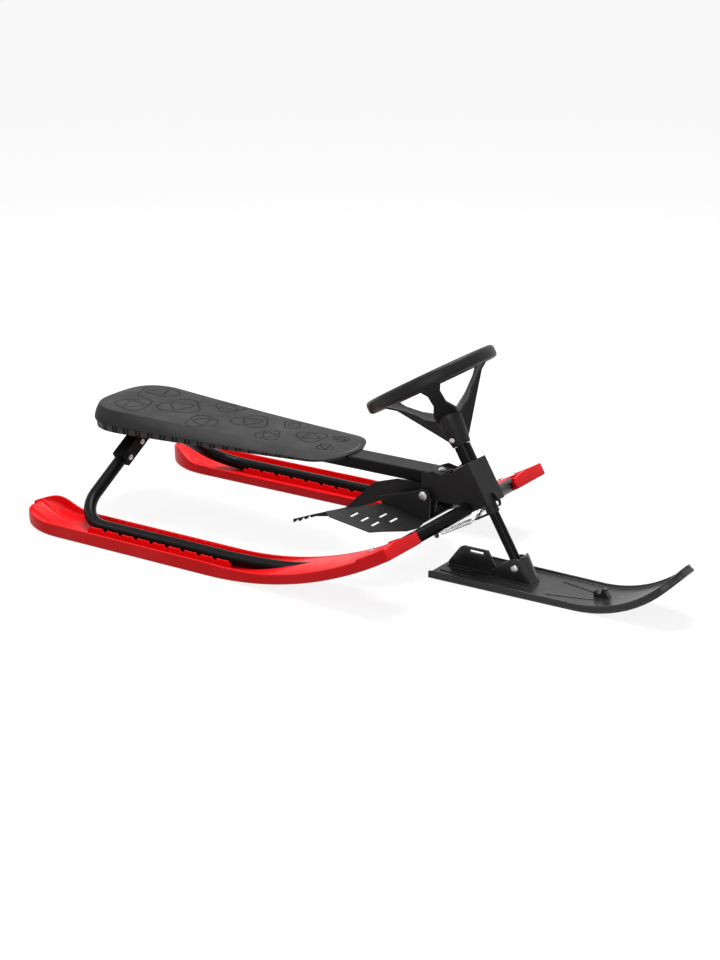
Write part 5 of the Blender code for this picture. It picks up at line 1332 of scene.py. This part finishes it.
@dataclass
class Seat:
    """The padded seat top with its pressed figures and sloping band, and the ticked skirt of its base."""

    lower: SeatEdge = SeatEdge(
        0.0320, 0.5575, 0.1065, 0.0740, 0.116, 1.36, (0.105, 2.8), (0.0495, 2.05), (0.1645, 0.1672)
    )
    crease: SeatEdge = SeatEdge(
        0.0375, 0.5330, 0.0890, 0.0572, 0.101, 0.80, (0.101, 3.2), (0.0320, 1.6), (0.1899, 0.1738)
    )
    crown: float = 0.0032
    crown_power: float = 2.4
    brow: float = 0.0022
    brow_steps: int = 5
    bulge: float = 0.0018
    bulge_power: float = 0.8
    band_steps: int = 9
    band_foot: float = 0.0012
    press_depth: float = 0.0010
    press_fade: float = 14.0
    top_rows: int = 62
    top_crowding: float = 1.12
    top_steps: int = 940
    nose_reach: float = 1.7
    hem: tuple[tuple[float, float], ...] = ((0.0004, 0.0003), (0.0013, 0.0), (0.0040, 0.0), (0.0150, 0.0))
    pan_inset: float = 0.0155
    pan_top: float = 0.1710
    foot: tuple[float, float] = (0.1500, 0.1640)
    least_skirt: float = 0.0030
    inset: float = 0.0036
    skirt_wall: float = 0.0060
    tick_depth: float = 0.0030
    tick_half_rows: float = 1.4
    tick_pitch: float = 0.026
    skirt_steps: int = 1300

    def spine(self, point: Vector) -> Vector:
        """Return the point of the middle line that a crease point is reached from."""
        nose = self.crease.end - self.crease.nose[0] * self.nose_reach
        return Vector((min(max(point.x, self.crease.start + self.crease.rear[0]), nose), 0.0))

    def top_point(self, middle: Vector, edge: Vector, share: float) -> Vector:
        """Find a point of the crowned top.

        Args:
            middle: Plan point of the middle line.
            edge: Plan point of the crease.
            share: Share of the way from the middle to the crease.

        Returns:
            The point in the world, with the figures pressed in.
        """
        plan = middle.lerp(edge, share)
        pressed = max(motif.press(plan) for motif in SEAT_MOTIFS) * min(1.0, (1 - share) * self.press_fade)
        crown = self.crown * (1 - share**self.crown_power)
        return at(plan.x, plan.y, self.crease.height_at(plan.x) + crown - self.press_depth * pressed)

    def column(self, foot: Vector, outwards: Vector, edge: Vector) -> list[Vector]:
        """Return one run of the pad's skin, from the middle of the top down to the middle below.

        Args:
            foot: Plan point of the band's lower edge.
            outwards: Outward direction there.
            edge: Plan point of the crease that belongs to it.

        Returns:
            The run's points in the world.
        """
        middle = self.spine(edge)
        last = 1 - self.brow / (edge - middle).length
        found = []
        for step in range(self.top_rows):
            share = 1 - (1 - step / (self.top_rows - 1)) ** self.top_crowding
            found.append(self.top_point(middle, edge, last * share))
        before = found[-1]
        corner = at(edge.x, edge.y, self.crease.height_at(edge.x))
        low = at(foot.x, foot.y, self.lower.height_at(foot.x) + self.band_foot)
        after = corner + (low - corner).normalized() * self.brow
        for step in range(1, self.brow_steps):
            share = step / self.brow_steps
            found.append(before.lerp(corner, share).lerp(corner.lerp(after, share), share))
        way = Vector((outwards.x, outwards.y, 0.0))
        for step in range(self.band_steps + 1):
            share = step / self.band_steps
            swell = self.bulge * math.sin(math.pi * share) ** self.bulge_power
            found.append(after.lerp(low, share) + way * swell)
        under = self.lower.height_at(foot.x)
        found += [at(foot.x, foot.y, under + up) - way * inset for inset, up in self.hem]
        inner = foot - outwards * self.pan_inset
        for share in (0.0, 0.5, 1.0):
            plan = inner.lerp(middle, share)
            found.append(at(plan.x, plan.y, self.pan_top))
        return found

    def build_top(self) -> None:
        """Build the padded top and let it stand for its node."""
        pairs = zip(self.lower.loop(self.top_steps), self.crease.loop(self.top_steps))
        columns = [self.column(foot, outwards, edge) for (foot, outwards), (edge, _) in pairs]
        piece = put(shaped_rows("seat_top", columns), "frame", SEAT_SKIN, 50.0)
        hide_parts("seat_pad")

    def build_skirt(self) -> None:
        """Build the skirt round the base, with an upright notch at each pitch painted near black as painted
        shade.
        """
        points = self.lower.loop(self.skirt_steps)
        step_length = (points[1][0] - points[0][0]).length
        ticks = round(self.skirt_steps * step_length / self.tick_pitch)
        rows_per_pitch = self.skirt_steps / ticks

        def place(row: int, column: int) -> Vector:
            """Return a point of the skirt's closed section.

            Args:
                row: Row of the grid.
                column: Column of the grid.

            Returns:
                The point in the world.
            """
            point, outwards = points[row]
            offset = min(row % rows_per_pitch, rows_per_pitch - row % rows_per_pitch)
            groove = self.tick_depth * max(0.0, 1 - (offset / self.tick_half_rows) ** 2)
            share = (point.x - self.lower.start) / (self.lower.end - self.lower.start)
            top = self.lower.height_at(point.x) - 0.0003
            low = min(self.foot[0] + (self.foot[1] - self.foot[0]) * share, top - self.least_skirt)
            section = (
                (self.skirt_wall, top),
                (0.0, top),
                (0.0, top - 0.0008),
                (groove, top - 0.0012),
                (0.0001 + groove, (top + low) / 2),
                (0.0004 + groove, low + 0.0014),
                (0.0006, low + 0.0010),
                (0.0014, low - 0.0002),
                (self.skirt_wall, low - 0.0002),
                (self.skirt_wall, top),
            )
            inset, height = section[column]
            plan = point - outwards * (self.inset + inset)
            return at(plan.x, plan.y, height)

        piece = shaped_grid("seat_skirt", self.skirt_steps, 9, place)
        closed_up(piece)
        put(piece, "frame", BASE_GREY, 30.0)
        # The faces round each notch get a near-black second finish: painted shade in the notch.
        piece.data.materials.append(Paint.of(NOTCH_SHADE_BLACK))
        marks = [points[round(index * rows_per_pitch)][0] for index in range(ticks)]
        marks = [at(mark.x, mark.y, 0.0) for mark in marks]
        reach = math.hypot(self.inset + self.tick_depth, step_length * self.tick_half_rows) * 1.02
        for face in piece.data.polygons:
            centre = Vector((face.center.x, face.center.y, 0.0))
            if min((mark - centre).length for mark in marks) < reach:
                face.material_index = 1

    def build(self) -> None:
        """Build both pieces."""
        self.build_top()
        self.build_skirt()


@dataclass
class Wheel:
    """The steering wheel: grip ring, conical hub and three flared spokes with webs and gussets."""

    foot: Vector = field(default_factory=lambda: Vector((0.2282, 0.0, 0.1214)))
    rake: float = math.atan2(0.5087, 0.861)
    radius: float = 0.1135
    along: float = 0.2272
    grip_width: float = 0.021
    grip_height: float = 0.022
    grip_power: float = 3.4
    hub_foot: float = 0.1108
    hub_top: float = 0.165
    hub_foot_radius: float = 0.0155
    hub_top_radius: float = 0.0235
    hub_dishes: tuple[tuple[int, float, float], ...] = ((1, 0.0028, -0.0035), (-1, 0.0030, 0.0025))
    plate: float = 0.004
    plate_dish: float = 0.0012
    web: float = 0.005
    web_foot: float = 0.003
    spoke_rise: float = 1.15
    spoke_widths: tuple[tuple[float, float], ...] = (
        (0.0, 0.040), (0.22, 0.040), (0.45, 0.022), (0.75, 0.022), (1.0, 0.044)
    )
    gusset_shares: tuple[float, float] = (0.30, 0.62)
    gusset_depth: float = 0.017
    gusset_wall: float = 0.0022
    angles: tuple[int, int, int] = (60, 180, 300)
    web_angles: tuple[int, int] = (60, 180)

    def frame(self) -> Matrix:
        """Lean the column's own axes into the world.

        Returns:
            The matrix from the column's axes to the world's.
        """
        cosine = math.cos(self.rake)
        sine = math.sin(self.rake)
        return Matrix.Translation(self.foot) @ Matrix(
            ((cosine, 0, -sine, 0), (0, 1, 0, 0), (sine, 0, cosine, 0), (0, 0, 0, 1))
        )

    def grip(self) -> bpy.types.Object:
        """Turn the grip ring and flatten its faces.

        Returns:
            The ring.
        """
        centre = self.radius - self.grip_width / 2
        deselect()
        bpy.ops.mesh.primitive_torus_add(
            major_segments=168, minor_segments=36, major_radius=centre, minor_radius=self.grip_width / 2
        )
        piece = named("wheel_grip")
        for vertex in piece.data.vertices:
            reach = math.hypot(vertex.co.x, vertex.co.y)
            turn = math.atan2(vertex.co.z, reach - centre)
            wide = abs(math.cos(turn) / (self.grip_width / 2)) ** self.grip_power
            tall = abs(math.sin(turn) / (self.grip_height / 2)) ** self.grip_power
            swell = (wide + tall) ** (-1 / self.grip_power)
            scale = (centre + swell * math.cos(turn)) / reach
            height = self.along + swell * math.sin(turn)
            vertex.co = Vector((vertex.co.x * scale, vertex.co.y * scale, height))
        return piece

    def spoke_at(self, share: float) -> tuple[float, float, float]:
        """Follow a spoke from the hub to the grip.

        Args:
            share: Share of the spoke's length.

        Returns:
            The distance out, the half width and the height along the column.
        """
        hub = self.hub_top_radius * 0.55
        rim = self.radius - self.grip_width * 0.75
        low = self.hub_top - self.plate * 0.5
        high = self.along - self.grip_height * 0.1
        halves = [(stop, width / 2) for stop, width in self.spoke_widths]
        heights = [(stop, low + (high - low) * stop**self.spoke_rise) for stop, half in halves]
        return hub + (rim - hub) * share, stepped(share, halves), stepped(share, heights)

    def turned(self, piece: bpy.types.Object, angle: float) -> bpy.types.Object:
        """Turn a spoke part to its angle about the column."""
        piece.data.transform(Matrix.Rotation(math.radians(angle), 4, "Z"))
        return piece

    def spoke_plate(self) -> bpy.types.Object:
        """Build the flared plate of a spoke, out along X.

        Returns:
            The plate.
        """
        rows = 40
        columns = 8

        def place(row: int, column: int) -> Vector:
            """Return a point of the plate's middle sheet, slightly dished across.

            Args:
                row: Row of the grid.
                column: Column of the grid.

            Returns:
                The point in the column's axes.
            """
            out, half, height = self.spoke_at(row / rows)
            across = column / columns * 2 - 1
            return Vector((out, half * across, height - self.plate / 2 - self.plate_dish * across * across))

        piece = shaped_grid("spoke_plate", rows, columns, place)
        thicken(piece, self.plate)
        soften(piece, 0.0007, 2, 50.0)
        return piece

    def spoke_web(self) -> bpy.types.Object:
        """Build the deep web under a spoke.

        Returns:
            The web.
        """
        rows = 36
        columns = 6
        rim = self.radius - self.grip_width * 0.7
        low_start = Vector((self.hub_foot_radius * 0.8, self.hub_foot + self.web_foot))
        low_end = Vector((rim, self.along - self.grip_height * 0.35))

        def place(row: int, column: int) -> Vector:
            """Return a point between the web's lower line and the plate.

            Args:
                row: Row of the grid.
                column: Column of the grid.

            Returns:
                The point in the column's axes.
            """
            low = low_start.lerp(low_end, row / rows)
            out, _, height = self.spoke_at(row / rows)
            high = Vector((min(out, rim), height - self.plate * 0.6))
            spot = low.lerp(high, column / columns)
            return Vector((spot.x, 0.0, spot.y))

        piece = shaped_grid("spoke_web", rows, columns, place)
        thicken(piece, self.web)
        soften(piece, 0.0008, 2, 50.0)
        return piece

    def gusset(self, share: float, side: int) -> bpy.types.Object:
        """Build a small cross rib between web and plate.

        Args:
            share: Share of the spoke's length at which it stands.
            side: Side of the web.

        Returns:
            The gusset.
        """
        out, half, height = self.spoke_at(share)
        deselect()
        bpy.ops.mesh.primitive_cube_add(size=1, location=(0, 0, 0))
        piece = named("spoke_gusset")
        depth = self.gusset_depth * (1 - share * 0.5)
        for vertex in piece.data.vertices:
            outer = vertex.co.y > 0
            low = vertex.co.z < 0
            across = half * (0.94 if not low else 0.10) if outer else 0.0
            drop = depth if low else self.plate * 0.8
            vertex.co = Vector((out + vertex.co.x * self.gusset_wall, side * across, height - drop))
        closed_up(piece)
        soften(piece, 0.0003, 1, 30.0)
        return piece

    def hub(self) -> bpy.types.Object:
        """Turn the conical hub with its dished top and foot collar.

        Returns:
            The hub.
        """
        deselect()
        depth = self.hub_top - self.hub_foot
        bpy.ops.mesh.primitive_cone_add(
            vertices=56, radius1=self.hub_foot_radius, radius2=self.hub_top_radius, depth=depth,
            location=(0, 0, self.hub_foot + depth / 2),
        )
        piece = named("wheel_hub")
        bpy.ops.object.transform_apply(location=True, rotation=True, scale=True)
        for way, inset, shift in self.hub_dishes:
            with editing(piece):
                bpy.ops.mesh.select_mode(type="FACE")
                bpy.ops.mesh.select_all(action="DESELECT")
            for face in piece.data.polygons:
                face.select = face.normal.z * way > 0.9
            bpy.ops.object.mode_set(mode="EDIT")
            bpy.ops.mesh.inset(thickness=inset)
            bpy.ops.transform.translate(value=(0, 0, shift))
            bpy.ops.object.mode_set(mode="OBJECT")
        soften(piece, 0.0009, 3, 30.0)
        return piece

    def build(self) -> None:
        """Build the wheel from its parts and let it stand for its node."""
        parts = [self.hub()]
        for angle in self.angles:
            parts.append(self.turned(self.spoke_plate(), angle))
            if angle in self.web_angles:
                parts.append(self.turned(self.spoke_web(), angle))
                for share in self.gusset_shares:
                    for side in (LEFT, RIGHT):
                        parts.append(self.turned(self.gusset(share, side), angle))
        piece = joined(self.grip(), *parts)
        piece.name = "wheel_ring_and_hub"
        piece.data.transform(self.frame())
        put(piece, "steering", MOULDED_BLACK, 35.0)
        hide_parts("steering_wheel")


@dataclass
class SkiTrim:
    """The raised lines of the ski: its double rim, the ridges of its deck and the mark near its tip."""

    tail: float = 0.737
    flat_end: float = 1.000
    rise_radius: float = 0.2156
    tip: float = 1.170
    tail_half: float = 0.058
    front_half: float = 0.050
    tip_rounding: float = 0.055
    tip_power: float = 2.2
    tip_steps: int = 22
    side_steps: int = 60
    deck: float = 0.0080
    rim: float = 0.0110
    rim_radius: float = 0.0017
    welt: float = 0.0030
    welt_inset: float = 0.0002
    welt_radius: float = 0.0010
    ridge_radius: float = 0.0014
    ridge_steps: int = 12
    ridges: tuple[tuple[float, float, float, float], ...] = (
        (0.940, -0.032, 1.018, -0.012),
        (0.940, 0.030, 1.018, 0.012),
        (0.745, -0.034, 0.800, -0.036),
        (0.745, -0.012, 0.790, -0.013),
        (0.745, 0.012, 0.800, 0.014),
        (0.745, 0.034, 0.860, 0.038),
        (0.850, -0.024, 0.905, -0.030),
    )
    mark: tuple[float, float] = (1.140, 0.016)
    mark_lift: float = 0.0006
    mark_radius: float = 0.0021

    def world(self, distance: float, across: float, up: float) -> Vector:
        """Find a point by its place on the ski.

        Args:
            distance: Distance along the sole, from the sled's tail.
            across: Distance left of the sole's middle.
            up: Height above the sole.

        Returns:
            The point in the world.
        """
        slope = max(0.0, (distance - self.flat_end) / self.rise_radius)
        station = min(distance, self.flat_end) + self.rise_radius * math.sin(slope)
        height = self.rise_radius * (1 - math.cos(slope))
        return at(station - up * math.sin(slope), across, height + up * math.cos(slope))

    def end(self) -> float:
        """Return the distance of the tip along the sole."""
        return self.flat_end + self.rise_radius * math.asin((self.tip - self.flat_end) / self.rise_radius)

    def half_at(self, distance: float) -> float:
        """Follow the ski's width.

        Args:
            distance: Distance along the sole.

        Returns:
            The half width there.
        """
        share = (distance - self.tail) / (self.end() - self.tail)
        half = self.tail_half + (self.front_half - self.tail_half) * share
        return half * rounding(self.end() - distance, self.tip_rounding, self.tip_power)

    def edge(self, inset: float, up: float) -> list[Vector]:
        """Follow the ski's outline from one tail corner round the tip to the other.

        Args:
            inset: Distance inwards from the outline.
            up: Height above the sole.

        Returns:
            The line's points in the world.
        """
        length = self.end() - self.tip_rounding - self.tail
        quarter = math.pi / 2 / self.tip_steps
        reach = [self.tail + 0.001 + length * step / self.side_steps for step in range(self.side_steps)]
        bends = [self.tip_rounding * (1 - math.sin(quarter * step)) for step in range(self.tip_steps)]
        reach += [self.end() - bend for bend in bends]
        side = [(distance, max(self.half_at(distance) - inset, 0.0)) for distance in reach]
        line = [(distance, -across) for distance, across in side] + [(self.end() - inset, 0.0)] + side[::-1]
        return [self.world(distance, across, up) for distance, across in line]

    def build(self) -> None:
        """Build the raised lines as one piece."""
        parts = [
            bar("ski_rim_bead", self.edge(self.rim_radius, self.rim), self.rim_radius),
            bar("ski_side_welt", self.edge(self.welt_inset, self.welt), self.welt_radius),
        ]
        shares = [step / self.ridge_steps for step in range(self.ridge_steps + 1)]
        for index, (first, across, last, beyond) in enumerate(self.ridges):
            points = [
                self.world(first + (last - first) * share, across + (beyond - across) * share, self.deck)
                for share in shares
            ]
            parts.append(bar(f"ski_ridge_{index}", points, self.ridge_radius))
        distance, half = self.mark
        up = self.deck + self.mark_lift
        points = [self.world(distance, half * (step / 4 - 1), up) for step in range(9)]
        parts.append(bar("ski_tip_mark", points, self.mark_radius))
        piece = joined(*parts)
        piece.name = "ski_trim"
        put(piece, "front_ski", SKI_BLACK, 45.0)


@dataclass(frozen=True)
class Lamp:
    """One square soft lamp: its name, its place and size in metres and its power in watts."""

    name: str
    place: tuple[float, float, float]
    size: float
    power: float


@dataclass
class Studio:
    """The pale floor, the soft lamps, the white surroundings and the camera."""

    camera_place: tuple[float, float, float] = (1.677, -2.583, 1.171)
    camera_tilt: float = 71.235
    camera_turn: float = 33.388
    lens: float = 72.76
    world_level: float = 0.24
    floor_lift: float = 0.86
    floor_tone: int = 130
    floor_size: float = 60
    floor_drop: float = 0.0004
    white: tuple[float, float, float, float] = (1.0, 1.0, 1.0, 1.0)
    aim: tuple[float, float, float] = (0.0, 0.0, 0.12)
    lamps: tuple[Lamp, ...] = (
        Lamp("lamp_above", (-0.2, 0.4, 2.4), 1.5, 78.0),
        Lamp("lamp_left", (-1.9, -1.2, 1.5), 1.0, 12.0),
        Lamp("lamp_front", (1.6, -2.2, 0.9), 1.2, 20.0),
    )

    def seen_share(self, wiring: Wiring) -> bpy.types.NodeSocket:
        """Tell what is seen from what only gives light.

        Args:
            wiring: Wiring of the floor's or the world's tree.

        Returns:
            1 for what the camera, a reflection or a clear piece sees, and 0 for light.
        """
        path = wiring.node("ShaderNodeLightPath")
        seen = wiring.maths("ADD", path.outputs["Is Camera Ray"], path.outputs["Is Glossy Ray"], clamp=True)
        return wiring.maths("ADD", seen, path.outputs["Is Transmission Ray"], clamp=True)

    def surroundings(self) -> None:
        """Set the world: white where it is seen, plain grey light elsewhere."""
        world = bpy.data.worlds.new("studio")
        bpy.context.scene.world = world
        world.use_nodes = True
        world.node_tree.nodes.clear()
        wiring = Wiring(world.node_tree)
        strength = wiring.ramp(self.seen_share(wiring), 0.0, 1.0, self.world_level, 1.0)
        light = wiring.node("ShaderNodeBackground", inputs={"Color": self.white, "Strength": strength})
        wiring.node("ShaderNodeOutputWorld", inputs={"Surface": light.outputs[0]})

    def floor(self) -> None:
        """Lay the floor, which stays white but for the sled's shadow."""
        deselect()
        bpy.ops.mesh.primitive_plane_add(size=self.floor_size, location=(0, 0, -self.floor_drop))
        piece = named("studio_floor")
        material = bpy.data.materials.new("studio_floor")
        material.use_nodes = True
        wiring = Wiring(material.node_tree)
        shader = material.node_tree.nodes["Principled BSDF"]
        shader.inputs["Base Color"].default_value = linear((self.floor_tone,) * 3)
        shader.inputs["Roughness"].default_value = 0.9
        shader.inputs["Specular IOR Level"].default_value = 0.1
        shader.inputs["Emission Color"].default_value = self.white
        lift = wiring.maths("MULTIPLY", self.seen_share(wiring), self.floor_lift)
        wiring.feed(shader.inputs["Emission Strength"], lift)
        piece.data.materials.append(material)

    def hang(self, lamp: Lamp) -> None:
        """Hang a lamp that faces the sled.

        Args:
            lamp: The lamp to hang.
        """
        deselect()
        bpy.ops.object.light_add(type="AREA", location=lamp.place)
        made = named(lamp.name)
        made.data.shape = "SQUARE"
        made.data.size = lamp.size
        made.data.energy = lamp.power
        made.rotation_euler = (Vector(self.aim) - Vector(lamp.place)).to_track_quat("-Z", "Y").to_euler()

    def camera(self) -> None:
        """Set the camera at the photograph's place."""
        deselect()
        turn = (math.radians(self.camera_tilt), 0.0, math.radians(self.camera_turn))
        bpy.ops.object.camera_add(location=self.camera_place, rotation=turn)
        camera = named("photo_camera")
        camera.data.sensor_fit = "AUTO"
        camera.data.sensor_width = 36
        camera.data.lens = self.lens
        camera.data.dof.use_dof = False
        bpy.context.scene.camera = camera

    def build(self) -> None:
        """Set up the whole studio."""
        bpy.context.scene.view_settings.view_transform = "Standard"
        self.surroundings()
        self.floor()
        for lamp in self.lamps:
            self.hang(lamp)
        self.camera()
        log.info("studio is set")


def dress_nodes() -> None:
    """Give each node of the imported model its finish."""
    for name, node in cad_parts.items():
        fitting = (kind for kind, parts in NODE_FINISHES.items() if any(part in name for part in parts))
        finish = next(fitting, TUBE_BLACK)
        for slot in node.material_slots:
            slot.material = Paint.of(finish)
        log.info("%s in %s", name, finish.name)


def main() -> None:
    """Build the dressed sled in its studio."""
    logging.basicConfig(level=logging.INFO, format="%(message)s")
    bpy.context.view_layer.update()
    dress_nodes()
    Studio().build()
    for side in (RIGHT, LEFT):
        Runner(side).build()
        FrameTube(side).build()
    Seat().build()
    Wheel().build()
    SkiTrim().build()


if __name__ == "__main__":
    main()
